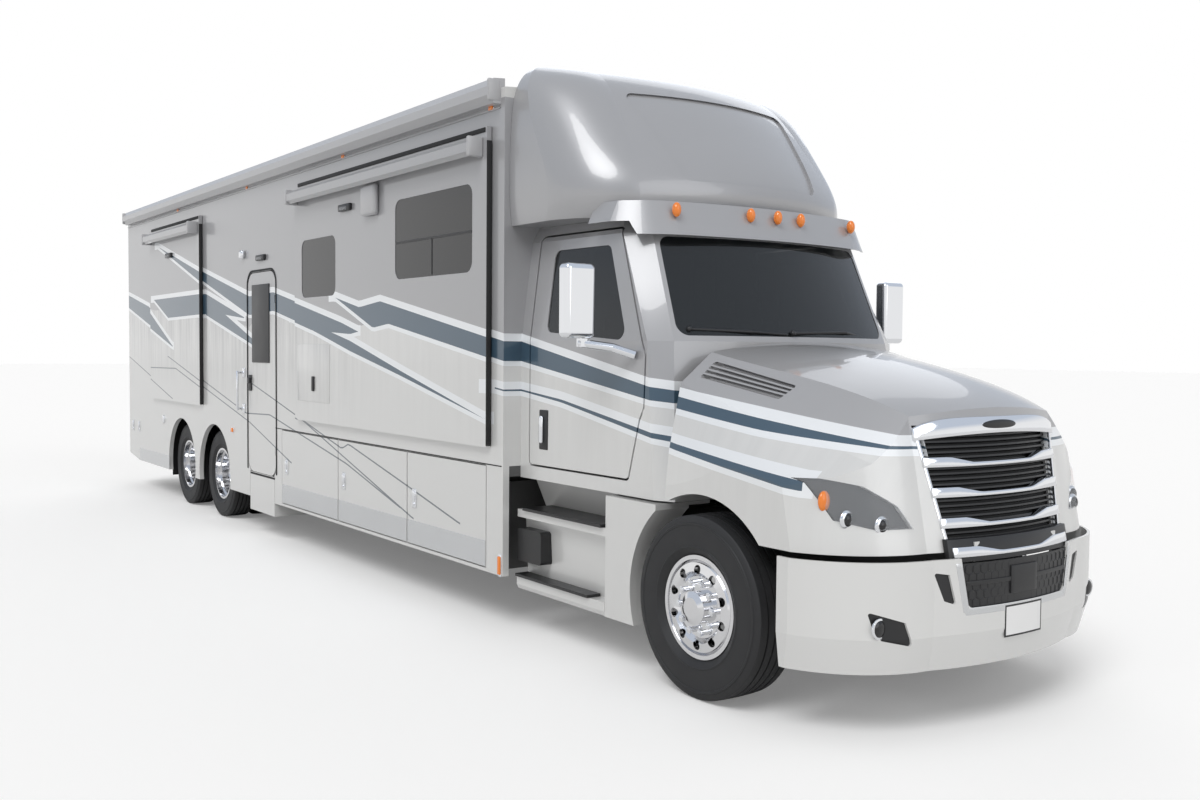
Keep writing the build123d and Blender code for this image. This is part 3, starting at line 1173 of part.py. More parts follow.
def main():
    """Builds every node."""
    parts = dict(coach_parts)
    parts.update(coach_walls())
    parts.update(slide_rooms())
    parts["frame_rails"] = chassis_frame()
    parts["tow_receiver"] = tow_receiver()
    parts.update(cab())
    parts.update(bumper())
    shell, zone = headlamps()
    lamp = shell & zone
    parts["hood"] = hood() - zone - mirrored(zone)
    parts["headlamps"] = both(lamp)
    chrome = grille()
    parts["hood"] -= chrome
    parts["grille"] = chrome
    parts["front_cap"] = front_cap()
    parts["sun_visor"] = visor()
    parts["cab_fairings"] = fairings()
    parts["step_treads"] = treads()
    parts.update(axles())
    parts.update(powertrain())
    parts.update(interior())
    mirror_right = mirrors()
    parts["mirror_right"] = mirror_right
    parts["mirror_left"] = mirrored(mirror_right)
    parts.update(fittings())
    parts["baggage_trays"] = baggage_boxes()
    tyre, rim = steer_wheel_parts()
    centre = WHEEL_FACE_Y - STEER_TYRE_W / 2
    right = Pos(STEER_X, -centre, STEER_TYRE_R)
    parts["steer_tyre_right"], parts["steer_rim_right"] = right * tyre, right * rim
    parts["steer_tyre_left"], parts["steer_rim_left"] = mirrored(right * tyre), mirrored(right * rim)
    tyres, rims = drive_wheel_parts()
    centre = WHEEL_FACE_Y - DRIVE_TYRE_W / 2
    for axle, x in zip(("front", "rear"), DRIVE_XS):
        place = Pos(x, -centre, DRIVE_TYRE_R)
        for side, turn in (("right", lambda s: s), ("left", mirrored)):
            parts[f"drive_tyres_{axle}_{side}"] = turn(place * tyres)
            parts[f"drive_rims_{axle}_{side}"] = turn(place * rims)
    for name, shape in parts.items():
        save(name, shape)


main()
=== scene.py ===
# %% [markdown]
# # Dressing the motorhome
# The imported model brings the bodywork, chassis, doors and wheels at their true places. This lesson
# adds what a coach builder adds last: paint and stripes, tread, lamps, seals, handles and small
# hardware.

from math import cos, pi, radians, sin, sqrt, tau

import bpy
from mathutils import Matrix, Vector


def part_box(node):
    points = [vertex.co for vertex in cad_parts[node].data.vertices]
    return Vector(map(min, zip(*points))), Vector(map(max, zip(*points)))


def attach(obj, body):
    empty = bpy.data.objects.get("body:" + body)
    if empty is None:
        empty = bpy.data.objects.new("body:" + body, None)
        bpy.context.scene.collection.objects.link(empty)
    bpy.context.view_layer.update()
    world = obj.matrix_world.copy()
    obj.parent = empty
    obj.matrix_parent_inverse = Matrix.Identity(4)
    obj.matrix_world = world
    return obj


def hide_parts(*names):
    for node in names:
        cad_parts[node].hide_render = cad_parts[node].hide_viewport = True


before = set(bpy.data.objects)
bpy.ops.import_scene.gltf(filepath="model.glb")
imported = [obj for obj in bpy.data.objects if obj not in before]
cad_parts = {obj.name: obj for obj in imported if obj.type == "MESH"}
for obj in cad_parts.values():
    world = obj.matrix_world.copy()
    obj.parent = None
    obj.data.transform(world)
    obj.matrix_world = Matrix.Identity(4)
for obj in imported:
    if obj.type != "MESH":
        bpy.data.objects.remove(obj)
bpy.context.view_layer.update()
print("nodes", len(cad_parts))

# %% [markdown]
# ## Working by hand in code
# Every piece starts as a primitive that is shaped in edit mode. These helpers keep one piece selected
# at a time, and leave each finished object at the origin with its place in its mesh, as the packed
# nodes are.


# %% Selection and finishing
def clear():
    if bpy.context.object and bpy.context.object.mode != "OBJECT":
        bpy.ops.object.mode_set(mode="OBJECT")
    bpy.ops.object.select_all(action="DESELECT")


def hold(obj):
    clear()
    obj.select_set(True)
    bpy.context.view_layer.objects.active = obj
    return obj


def bevel(obj, width, segments=2):
    tool = obj.modifiers.new("edge", "BEVEL")
    tool.width = width
    tool.segments = segments
    tool.limit_method = "ANGLE"
    hold(obj)
    bpy.ops.object.modifier_apply(modifier=tool.name)


def settle(obj, name, finish, body, smooth=35.0):
    hold(obj)
    bpy.ops.object.transform_apply(location=True, rotation=True, scale=True)
    obj.name = name
    obj.data.materials.clear()
    obj.data.materials.append(finish)
    if smooth:
        bpy.ops.object.shade_smooth_by_angle(angle=radians(smooth))
    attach(obj, body)
    return obj


def bar(low, high, edge=0.0, segments=2):
    centre = [(a + b) / 2 for a, b in zip(low, high)]
    size = [abs(b - a) for a, b in zip(low, high)]
    clear()
    bpy.ops.mesh.primitive_cube_add(size=1, location=centre)
    piece = bpy.context.object
    piece.scale = size
    bpy.ops.object.transform_apply(location=True, rotation=True, scale=True)
    if edge:
        bevel(piece, edge, segments)
    return piece


SIDES = ((-1, "right"), (1, "left"))
TURN_TO = {"x": (0, pi / 2, 0), "y": (pi / 2, 0, 0), "z": (0, 0, 0)}


def rod(centre, radius, length, axis, sides=24, edge=0.0):
    clear()
    bpy.ops.mesh.primitive_cylinder_add(
        vertices=sides, radius=radius, depth=length, location=centre, rotation=TURN_TO[axis]
    )
    piece = bpy.context.object
    bpy.ops.object.transform_apply(location=True, rotation=True, scale=True)
    if edge:
        bevel(piece, edge)
    return piece


def plate(outline, y0, y1, edge=0.0):
    """A flat outline of (x, z) points, carried from one y to another."""
    clear()
    bpy.ops.mesh.primitive_circle_add(vertices=len(outline), radius=1, fill_type="NGON")
    piece = bpy.context.object
    for vertex, (x, z) in zip(piece.data.vertices, outline):
        vertex.co = (x, y0, z)
    bpy.ops.object.mode_set(mode="EDIT")
    bpy.ops.mesh.select_all(action="SELECT")
    bpy.ops.mesh.extrude_region_move(TRANSFORM_OT_translate={"value": (0, y1 - y0, 0)})
    bpy.ops.mesh.select_all(action="SELECT")
    bpy.ops.mesh.normals_make_consistent(inside=False)
    bpy.ops.object.mode_set(mode="OBJECT")
    if edge:
        bevel(piece, edge)
    return piece


def skin(pairs, push, edge=0.0):
    """A strip through pairs of facing points, one pair after another, made thick by a push."""
    clear()
    bpy.ops.mesh.primitive_grid_add(x_subdivisions=len(pairs) - 1, y_subdivisions=1, size=1)
    piece = bpy.context.object
    corners = sorted(piece.data.vertices, key=lambda v: (round(v.co.x, 4), v.co.y))
    for (foot, head), a, b in zip(pairs, corners[0::2], corners[1::2]):
        a.co, b.co = foot, head
    bpy.ops.object.mode_set(mode="EDIT")
    bpy.ops.mesh.select_all(action="SELECT")
    bpy.ops.mesh.extrude_region_move(TRANSFORM_OT_translate={"value": push})
    bpy.ops.mesh.select_all(action="SELECT")
    bpy.ops.mesh.remove_doubles(threshold=0.00005)
    bpy.ops.mesh.normals_make_consistent(inside=False)
    bpy.ops.object.mode_set(mode="OBJECT")
    if edge:
        bevel(piece, edge)
    return piece


def oval(centre, half, sides=20):
    """An ellipsoid, for lenses and domes."""
    clear()
    bpy.ops.mesh.primitive_uv_sphere_add(segments=sides, ring_count=sides // 2, radius=1, location=centre)
    piece = bpy.context.object
    piece.scale = half
    bpy.ops.object.transform_apply(location=True, rotation=True, scale=True)
    return piece


def link(start, end, radius, sides=12):
    """A straight rod from one point to another."""
    a, b = Vector(start), Vector(end)
    clear()
    bpy.ops.mesh.primitive_cylinder_add(
        vertices=sides, radius=radius, depth=(b - a).length, location=(a + b) / 2,
        rotation=(b - a).to_track_quat("Z", "Y").to_euler(),
    )
    piece = bpy.context.object
    bpy.ops.object.transform_apply(location=True, rotation=True, scale=True)
    return piece


def join(pieces):
    first = pieces[0]
    clear()
    for piece in pieces:
        piece.select_set(True)
    bpy.context.view_layer.objects.active = first
    if len(pieces) > 1:
        bpy.ops.object.join()
    return first


def copied(obj, offset=(0, 0, 0), flip_y=False):
    """A copy with its own mesh, moved, or mirrored to the other side of the vehicle."""
    twin = obj.copy()
    twin.data = obj.data.copy()
    bpy.context.collection.objects.link(twin)
    place = Matrix.Translation(offset)
    if flip_y:
        place = Matrix.Diagonal((1, -1, 1, 1)) @ place
    twin.data.transform(place)
    if flip_y:
        hold(twin)
        bpy.ops.object.mode_set(mode="EDIT")
        bpy.ops.mesh.select_all(action="SELECT")
        bpy.ops.mesh.flip_normals()
        bpy.ops.object.mode_set(mode="OBJECT")
    return twin


# %% [markdown]
# ## Camera
# The photograph looks at the front right corner from standing height. A 34.4 mm lens on a 36 mm frame
# matches its perspective. The view direction is written as a heading, a slight downward pitch and a
# trace of roll.

# %% Camera
CAMERA_PLACE = Vector((10.538, -5.437, 1.993))
HEADING, PITCH, ROLL = 0.6236, 0.0439, 0.0088
LENS, SENSOR = 34.4, 36.0

forward = Vector((-cos(HEADING) * cos(PITCH), sin(HEADING) * cos(PITCH), -sin(PITCH)))
level_right = Vector((sin(HEADING), cos(HEADING), 0))
level_up = level_right.cross(forward)
right = cos(ROLL) * level_right + sin(ROLL) * level_up
up = -sin(ROLL) * level_right + cos(ROLL) * level_up
camera_data = bpy.data.cameras.new("camera")
camera_data.lens = LENS
camera_data.sensor_width = SENSOR
camera_data.clip_end = 300
camera = bpy.data.objects.new("camera", camera_data)
camera.matrix_world = Matrix.Translation(CAMERA_PLACE) @ Matrix((right, up, -forward)).transposed().to_4x4()
bpy.context.collection.objects.link(camera)
bpy.context.scene.camera = camera
print("camera looks along", [round(v, 3) for v in forward])

# %% [markdown]
# ## Studio
# A white sweep under soft light. The world is plain white to the camera and to glossy surfaces, and
# dimmer as a light, so that the paint keeps its tone. The floor is pale and catches only the soft
# shadow.

# %% World, floor and lamps
scene = bpy.context.scene
scene.view_settings.view_transform = "Standard"
world = bpy.data.worlds.new("studio")
scene.world = world
world.use_nodes = True
nodes, links = world.node_tree.nodes, world.node_tree.links
nodes.clear()
LIGHT_LEVEL = 0.50


def background(strength):
    """A white background shader."""
    node = nodes.new("ShaderNodeBackground")
    node.inputs["Color"].default_value = (1, 1, 1, 1)
    node.inputs["Strength"].default_value = strength
    return node


def mixed(mask, first, second):
    """The first shader, and the second where the mask is 1."""
    node = nodes.new("ShaderNodeMixShader")
    for socket, source in zip(node.inputs, (mask, first, second)):
        links.new(source, socket)
    return node.outputs[0]


out = nodes.new("ShaderNodeOutputWorld")
direction = nodes.new("ShaderNodeTexCoord")
split = nodes.new("ShaderNodeSeparateXYZ")
links.new(direction.outputs["Generated"], split.inputs[0])
sky = nodes.new("ShaderNodeValToRGB")
sky.color_ramp.elements[0].position = 0.0
sky.color_ramp.elements[0].color = (0.22, 0.22, 0.23, 1)
sky.color_ramp.elements[1].position = 0.62
sky.color_ramp.elements[1].color = (0.62, 0.68, 0.78, 1)
for position, tone in ((0.47, 0.42), (0.50, 1.0), (0.56, 0.98)):
    element = sky.color_ramp.elements.new(position)
    element.color = (tone, tone, tone, 1)
half = nodes.new("ShaderNodeMath")
half.operation = "MULTIPLY_ADD"
half.inputs[1].default_value = 0.5
half.inputs[2].default_value = 0.5
links.new(split.outputs["Z"], half.inputs[0])
links.new(half.outputs[0], sky.inputs["Fac"])
mirror_sky = background(1.0)
links.new(sky.outputs["Color"], mirror_sky.inputs["Color"])
path = nodes.new("ShaderNodeLightPath")
shiny = mixed(path.outputs["Is Glossy Ray"], background(LIGHT_LEVEL).outputs[0], mirror_sky.outputs[0])
seen = nodes.new("ShaderNodeMath")
seen.operation = "MAXIMUM"
links.new(path.outputs["Is Camera Ray"], seen.inputs[0])
links.new(path.outputs["Is Transmission Ray"], seen.inputs[1])
links.new(mixed(seen.outputs[0], shiny, background(1.0).outputs[0]), out.inputs["Surface"])


def lamp(name, kind, energy, place, aim, size=None, angle=None):
    data = bpy.data.lights.new(name, kind)
    data.energy = energy
    if size:
        data.size = size
    if angle:
        data.angle = angle
    obj = bpy.data.objects.new(name, data)
    obj.location = place
    obj.rotation_euler = (Vector(aim) - Vector(place)).to_track_quat("-Z", "Y").to_euler()
    bpy.context.collection.objects.link(obj)
    return obj


lamp("key", "SUN", 1.35, (9, -16, 22), (0, 0, 0), angle=radians(30))
lamp("fill", "SUN", 0.45, (20, 2, 9), (0, 0, 1), angle=radians(40))
lamp("back_fill", "SUN", 0.30, (-16, 14, 14), (0, 0, 1), angle=radians(40))

clear()
FLOOR_SIZE = 240
bpy.ops.mesh.primitive_plane_add(size=FLOOR_SIZE, location=(0, 0, 0))
floor = bpy.context.object
floor.name = "floor"
floor_finish = bpy.data.materials.new("studio_floor")
floor_finish.use_nodes = True
nodes, links = floor_finish.node_tree.nodes, floor_finish.node_tree.links
nodes.clear()
pale = nodes.new("ShaderNodeBsdfDiffuse")
pale.inputs["Color"].default_value = (0.86, 0.86, 0.86, 1)
glow = nodes.new("ShaderNodeEmission")
glow.inputs["Strength"].default_value = 0.16
both = nodes.new("ShaderNodeAddShader")
links.new(pale.outputs[0], both.inputs[0])
links.new(glow.outputs[0], both.inputs[1])
path = nodes.new("ShaderNodeLightPath")
out = nodes.new("ShaderNodeOutputMaterial")
links.new(mixed(path.outputs["Is Camera Ray"], pale.outputs[0], both.outputs[0]), out.inputs["Surface"])
floor.data.materials.append(floor_finish)
print("studio ready")

# %% [markdown]
# ## Shared surface effects
# Nothing made is one flat colour. A node group mottles a base colour, and gives a matching roughness
# and a fine grain height, all on Object coordinates, so each piece keeps its pattern when it moves.


# %% Surface group
def group_sockets(group, inputs, outputs):
    for name, kind, value in inputs:
        socket = group.interface.new_socket(name=name, in_out="INPUT", socket_type=kind)
        socket.default_value = value
    for name, kind in outputs:
        group.interface.new_socket(name=name, in_out="OUTPUT", socket_type=kind)


surface = bpy.data.node_groups.new("mottled_surface", "ShaderNodeTree")
group_sockets(
    surface,
    (
        ("Colour", "NodeSocketColor", (0.5, 0.5, 0.5, 1)),
        ("Variation", "NodeSocketFloat", 0.05),
        ("Roughness", "NodeSocketFloat", 0.4),
        ("Wear", "NodeSocketFloat", 0.1),
        ("Patch size", "NodeSocketFloat", 3.0),
        ("Grain size", "NodeSocketFloat", 300.0),
    ),
    (("Colour", "NodeSocketColor"), ("Roughness", "NodeSocketFloat"), ("Height", "NodeSocketFloat")),
)
nodes, links = surface.nodes, surface.links
inlet = nodes.new("NodeGroupInput")
outlet = nodes.new("NodeGroupOutput")
place = nodes.new("ShaderNodeTexCoord")
patches = nodes.new("ShaderNodeTexNoise")
patches.inputs["Detail"].default_value = 6
links.new(place.outputs["Object"], patches.inputs["Vector"])
links.new(inlet.outputs["Patch size"], patches.inputs["Scale"])
grain = nodes.new("ShaderNodeTexNoise")
grain.inputs["Detail"].default_value = 3
links.new(place.outputs["Object"], grain.inputs["Vector"])
links.new(inlet.outputs["Grain size"], grain.inputs["Scale"])
swing = nodes.new("ShaderNodeMath")
swing.operation = "SUBTRACT"
swing.inputs[1].default_value = 0.5
links.new(patches.outputs["Fac"], swing.inputs[0])
shade = nodes.new("ShaderNodeMath")
shade.operation = "MULTIPLY_ADD"
shade.inputs[2].default_value = 1.0
links.new(swing.outputs[0], shade.inputs[0])
links.new(inlet.outputs["Variation"], shade.inputs[1])
tint = nodes.new("ShaderNodeVectorMath")
tint.operation = "SCALE"
links.new(inlet.outputs["Colour"], tint.inputs[0])
links.new(shade.outputs[0], tint.inputs["Scale"])
links.new(tint.outputs[0], outlet.inputs["Colour"])
rough = nodes.new("ShaderNodeMath")
rough.operation = "MULTIPLY_ADD"
rough.use_clamp = True
links.new(swing.outputs[0], rough.inputs[0])
links.new(inlet.outputs["Wear"], rough.inputs[1])
links.new(inlet.outputs["Roughness"], rough.inputs[2])
links.new(rough.outputs[0], outlet.inputs["Roughness"])
links.new(grain.outputs["Fac"], outlet.inputs["Height"])
print("surface group", len(surface.nodes), "nodes")


# %% Finish maker
def finish(
    name, colour, roughness, metallic=0.0, coat=0.0, variation=0.08, wear=0.1, patch=3.0, grain=300.0,
    bump=0.05, depth=0.0005,
):
    """A material that wears the mottled surface."""
    made = bpy.data.materials.new(name)
    made.use_nodes = True
    nodes, links = made.node_tree.nodes, made.node_tree.links
    shader = nodes["Principled BSDF"]
    mottle = nodes.new("ShaderNodeGroup")
    mottle.name = "mottle"
    mottle.node_tree = surface
    mottle.inputs["Colour"].default_value = (*colour, 1)
    mottle.inputs["Variation"].default_value = variation
    mottle.inputs["Roughness"].default_value = roughness
    mottle.inputs["Wear"].default_value = wear
    mottle.inputs["Patch size"].default_value = patch
    mottle.inputs["Grain size"].default_value = grain
    links.new(mottle.outputs["Colour"], shader.inputs["Base Color"])
    links.new(mottle.outputs["Roughness"], shader.inputs["Roughness"])
    shader.inputs["Metallic"].default_value = metallic
    shader.inputs["Coat Weight"].default_value = coat
    shader.inputs["Coat Roughness"].default_value = 0.04
    relief = nodes.new("ShaderNodeBump")
    relief.name = "relief"
    relief.inputs["Strength"].default_value = bump
    relief.inputs["Distance"].default_value = depth
    links.new(mottle.outputs["Height"], relief.inputs["Height"])
    links.new(relief.outputs["Normal"], shader.inputs["Normal"])
    return made


SILVER = (0.36, 0.36, 0.37)
OFF_WHITE = (0.66, 0.66, 0.65)
BORDER_WHITE = (0.80, 0.82, 0.84)
SLATE = (0.045, 0.085, 0.125)
chrome = finish(
    "polished_chrome", (0.78, 0.79, 0.81), 0.06, metallic=1.0, variation=0.03, wear=0.06, bump=0.01,
)
bright_wheel = finish(
    "polished_wheel", (0.74, 0.74, 0.75), 0.12, metallic=1.0, variation=0.05, wear=0.12, patch=18,
    bump=0.03,
)
black_trim = finish("black_trim", (0.012, 0.012, 0.013), 0.38, variation=0.3, wear=0.2, grain=600, bump=0.15)
chassis_black = finish(
    "chassis_black", (0.018, 0.018, 0.018), 0.55, variation=0.4, wear=0.3, grain=120, bump=0.2,
)
casting = finish("axle_casting", (0.030, 0.030, 0.032), 0.6, variation=0.5, wear=0.3, grain=80, bump=0.4)
rubber = finish(
    "tyre_rubber", (0.016, 0.016, 0.017), 0.62, variation=0.35, wear=0.25, patch=9, grain=260, bump=0.2,
)
seal = finish("rubber_seal", (0.010, 0.010, 0.010), 0.7, variation=0.3, wear=0.2, grain=200, bump=0.1)
roof_skin = finish(
    "roof_skin", (0.62, 0.62, 0.61), 0.5, variation=0.08, wear=0.15, patch=1.2, grain=90, bump=0.1,
)
awning_case = finish("awning_case", (0.42, 0.42, 0.43), 0.32, coat=0.3, variation=0.05, wear=0.1)
floor_panel = finish("floor_panel", (0.09, 0.09, 0.09), 0.7, variation=0.3, wear=0.2, grain=60, bump=0.3)
leather = finish("seat_leather", (0.10, 0.09, 0.085), 0.55, variation=0.2, wear=0.2, grain=240, bump=0.5)
steel_strip = finish(
    "polished_strip", (0.66, 0.67, 0.68), 0.16, metallic=1.0, variation=0.06, wear=0.12, patch=2.0,
    bump=0.03,
)
lens_red = finish("red_lens", (0.35, 0.012, 0.012), 0.15, coat=0.6, variation=0.1, grain=90, bump=0.2)
lens_amber = finish("amber_lens", (0.85, 0.22, 0.015), 0.18, coat=0.6, variation=0.12, grain=120, bump=0.2)
plate_white = finish("blank_plate", (0.78, 0.78, 0.78), 0.4, variation=0.04, grain=200, bump=0.05)
print("finishes", len(bpy.data.materials))

# %% [markdown]
# ## The livery
# Above a waist line the coach is silver grey, below it off-white. Slate bands with white borders run
# in a zigzag along the line, and thin pinstripes cross the lower body. Masking a real coach works the
# same way: each band is the space between an upper and a lower edge. Here each edge is a height curve
# along the vehicle, read in Object coordinates, so that the stripes run on unbroken over doors,
# slide-out rooms, cab and hood.

# %% Livery group
LIVERY_X = (-7.0, 7.0)
LIVERY_Z = (0.0, 4.0)
# (upper edge, lower edge), as (x, z) in metres
BANDS = (
    (((-5.11, 3.29), (-3.3, 2.87), (-1.68, 2.53), (-0.95, 2.55), (0.9, 2.21), (1.25, 2.13)),
     ((-5.11, 3.29), (-3.3, 2.76), (-1.68, 2.33), (-0.95, 2.36), (0.2, 2.15), (1.08, 2.11), (1.25, 2.13))),
    (((-0.36, 2.28), (0.28, 2.20), (1.08, 2.05), (2.07, 1.81), (3.44, 1.49)),
     ((-0.36, 2.27), (0.4, 2.11), (1.08, 1.96), (2.07, 1.77), (3.44, 1.49))),
    (((0.75, 2.44), (1.27, 2.34), (1.69, 2.38), (3.6, 2.05), (5.3, 1.72), (6.73, 1.49)),
     ((0.75, 2.44), (1.55, 2.16), (1.85, 2.19), (3.6, 1.91), (5.3, 1.65), (5.94, 1.56), (6.73, 1.48))),
    (((-5.32, 2.6), (-3.21, 2.61), (-1.85, 2.31)),
     ((-5.32, 2.6), (-4.65, 2.35), (-3.21, 2.37), (-2.62, 2.36), (-1.85, 2.30))),
    (((-3.2, 2.50), (-2.65, 2.40), (-1.5, 2.05), (-1.2, 1.9)),
     ((-3.2, 2.36), (-1.62, 2.02), (-1.2, 1.9))),
    (((-6.95, 2.73), (-5.73, 2.52), (-4.45, 1.99)),
     ((-6.95, 2.56), (-4.45, 1.98))),
    (((3.5, 1.72), (4.12, 1.655), (5.35, 1.445), (6.36, 1.32)),
     ((3.5, 1.71), (4.12, 1.635), (5.35, 1.41), (6.36, 1.27))),
)
BORDERS = (0.055, 0.035)  # white above and below a band
WAIST = (
    (-7.0, 2.66), (-5.3, 2.46), (-3.25, 2.46), (-1.7, 2.2), (-1.0, 2.45), (0.9, 2.15), (1.55, 2.2),
    (1.85, 2.28), (3.6, 1.98), (5.3, 1.69), (6.73, 1.485), (7.0, 1.44),
)
PINSTRIPES = (
    ((-4.68, 1.86), (-1.79, 1.27), (-1.07, 1.29), (0.9, 0.95), (2.0, 0.68)),
    ((-5.66, 1.70), (-4.33, 1.71), (-1.69, 1.18), (-0.45, 0.84)),
    ((-1.62, 1.60), (-0.87, 1.44), (0.79, 1.08), (0.94, 1.13), (2.19, 0.86), (3.0, 0.68)),
    ((-0.18, 1.29), (2.23, 0.62)),
    ((-6.9, 1.85), (-4.47, 1.32)),
)
PINSTRIPE_HALF = 0.007


def math_node(nodes, links, operation, a, b=None):
    node = nodes.new("ShaderNodeMath")
    node.operation = operation
    for socket, value in zip(node.inputs, (a, b)):
        if value is None:
            continue
        if isinstance(value, (int, float)):
            socket.default_value = value
        else:
            links.new(value, socket)
    return node.outputs[0]


def height_curve(nodes, links, along, points):
    """The height of an edge at a place along the vehicle, with the range of x that it covers."""
    node = nodes.new("ShaderNodeFloatCurve")
    curve = node.mapping.curves[0]
    span, tall = LIVERY_X[1] - LIVERY_X[0], LIVERY_Z[1] - LIVERY_Z[0]
    spots = [((x - LIVERY_X[0]) / span, (z - LIVERY_Z[0]) / tall) for x, z in points]
    if spots[0][0] > 0.001:
        spots.insert(0, (0.0, spots[0][1]))
    if spots[-1][0] < 0.999:
        spots.append((1.0, spots[-1][1]))
    while len(curve.points) < len(spots):
        curve.points.new(0.5, 0.5)
    for point, spot in zip(curve.points, spots):
        point.location = spot
        point.handle_type = "VECTOR"
    node.mapping.update()
    links.new(along, node.inputs["Value"])
    return math_node(nodes, links, "MULTIPLY", node.outputs["Value"], tall)


livery = bpy.data.node_groups.new("livery", "ShaderNodeTree")
group_sockets(
    livery,
    (("Silver", "NodeSocketColor", (*SILVER, 1)), ("Off-white", "NodeSocketColor", (*OFF_WHITE, 1))),
    (("Colour", "NodeSocketColor"), ("Pale mask", "NodeSocketFloat")),
)
nodes, links = livery.nodes, livery.links
inlet = nodes.new("NodeGroupInput")
outlet = nodes.new("NodeGroupOutput")
place = nodes.new("ShaderNodeTexCoord")
split = nodes.new("ShaderNodeSeparateXYZ")
links.new(place.outputs["Object"], split.inputs[0])
x_here, y_here, z_here = split.outputs


def ranged(value, start, end, low=0.0):
    """A value scaled from a range to between low and 1."""
    node = nodes.new("ShaderNodeMapRange")
    for socket, number in (("From Min", start), ("From Max", end), ("To Min", low)):
        node.inputs[socket].default_value = number
    links.new(value, node.inputs["Value"])
    return node.outputs["Result"]


def math_here(operation, a, b=None):
    return math_node(nodes, links, operation, a, b)


def mix_colour(mask, under, over):
    node = nodes.new("ShaderNodeMix")
    node.data_type = "RGBA"
    links.new(mask, node.inputs["Factor"])
    for socket, value in ((node.inputs[6], under), (node.inputs[7], over)):
        if isinstance(value, tuple):
            socket.default_value = (*value, 1)
        else:
            links.new(value, socket)
    return node.outputs[2]


def within(top, bottom, start, end):
    below = math_here("LESS_THAN", z_here, top)
    above = math_here("GREATER_THAN", z_here, bottom)
    inside = math_here("MULTIPLY", below, above)
    inside = math_here("MULTIPLY", inside, math_here("GREATER_THAN", x_here, start))
    return math_here("MULTIPLY", inside, math_here("LESS_THAN", x_here, end))


along = ranged(x_here, *LIVERY_X)
waist = height_curve(nodes, links, along, WAIST)
depth_below = math_here("SUBTRACT", waist, z_here)
pale_mask = math_here("GREATER_THAN", depth_below, 0.0)
colour = mix_colour(pale_mask, inlet.outputs["Silver"], inlet.outputs["Off-white"])

# Grey streaks hang from the waist line over the rear and middle, darkest just under the line and fading over
# a metre downward
lean = nodes.new("ShaderNodeMapping")
lean.inputs["Rotation"].default_value = (0, radians(-22), 0)
lean.inputs["Scale"].default_value = (7.0, 0.01, 0.45)
links.new(place.outputs["Object"], lean.inputs["Vector"])
streak = nodes.new("ShaderNodeTexNoise")
streak.inputs["Scale"].default_value = 1.6
streak.inputs["Detail"].default_value = 5
streak.inputs["Roughness"].default_value = 0.65
links.new(lean.outputs[0], streak.inputs["Vector"])
fade = ranged(depth_below, 1.0, 0.0)
rearward = ranged(x_here, 1.6, -1.0, 0.12)
contrast = ranged(streak.outputs["Fac"], 0.38, 0.66)
streak_mask = math_here("MULTIPLY", contrast, fade)
streak_mask = math_here("MULTIPLY", streak_mask, rearward)
streak_mask = math_here("MULTIPLY", streak_mask, pale_mask)
colour = mix_colour(math_here("MULTIPLY", streak_mask, 0.75), colour, (0.28, 0.28, 0.29))

for line in PINSTRIPES:
    height = height_curve(nodes, links, along, line)
    top = math_here("ADD", height, PINSTRIPE_HALF)
    bottom = math_here("SUBTRACT", height, PINSTRIPE_HALF)
    colour = mix_colour(within(top, bottom, line[0][0], line[-1][0]), colour, (0.14, 0.16, 0.18))

cores = []
for upper, lower in BANDS:
    top, bottom = (height_curve(nodes, links, along, edge) for edge in (upper, lower))
    start, end = upper[0][0], upper[-1][0]
    cores.append(within(top, bottom, start, end))
    white_top = math_here("ADD", top, BORDERS[0])
    white_bottom = math_here("SUBTRACT", bottom, BORDERS[1])
    colour = mix_colour(within(white_top, white_bottom, start - 0.15, end + 0.05), colour, BORDER_WHITE)
for core in cores:
    colour = mix_colour(core, colour, SLATE)
links.new(colour, outlet.inputs["Colour"])
links.new(pale_mask, outlet.inputs["Pale mask"])
print("livery", len(livery.nodes), "nodes,", len(BANDS), "bands")

# %% [markdown]
# ## Coach paint
# Automotive paint is a colour coat with fine metal flake under a clear coat. The livery drives the
# colour, the mottled surface adds the slight unevenness of a big sprayed panel, and the clear coat
# gives the gloss.

# %% Coach paint material
paint = finish(
    "coach_paint", SILVER, 0.34, metallic=0.15, coat=0.7, variation=0.05, wear=0.08, patch=0.8,
    grain=900, bump=0.02,
)
nodes, links = paint.node_tree.nodes, paint.node_tree.links
stripes = nodes.new("ShaderNodeGroup")
stripes.node_tree = livery
links.new(stripes.outputs["Colour"], nodes["mottle"].inputs["Colour"])
grey_paint = finish(
    "silver_paint", SILVER, 0.32, metallic=0.2, coat=0.7, variation=0.05, wear=0.08, patch=0.8,
    grain=900, bump=0.02,
)
pale_paint = finish(
    "pale_paint", OFF_WHITE, 0.32, coat=0.7, variation=0.04, wear=0.08, patch=1.0, grain=900, bump=0.02,
)
print("paint ready")

# %% [markdown]
# ## Glass
# Coach windows are almost black, and the windscreen is lighter. Real dark glass would be a tinted
# transmission, which costs noise. A glossy dark surface with a little transparency at steep angles
# reads the same.


# %% Glass materials
def glass(name, colour, clear_share, roughness=0.03):
    made = finish(name, colour, roughness, coat=0.2, variation=0.1, wear=0.02, patch=1.0, grain=40, bump=0.0)
    shader = made.node_tree.nodes["Principled BSDF"]
    shader.inputs["Alpha"].default_value = 1 - clear_share
    shader.inputs["IOR"].default_value = 1.5
    return made


dark_glass = glass("dark_window_glass", (0.010, 0.010, 0.011), 0.04)
screen_glass = glass("windscreen_glass", (0.012, 0.014, 0.015), 0.16)
lens_clear = glass("clear_lens", (0.75, 0.78, 0.82), 0.80)
print("glass ready")

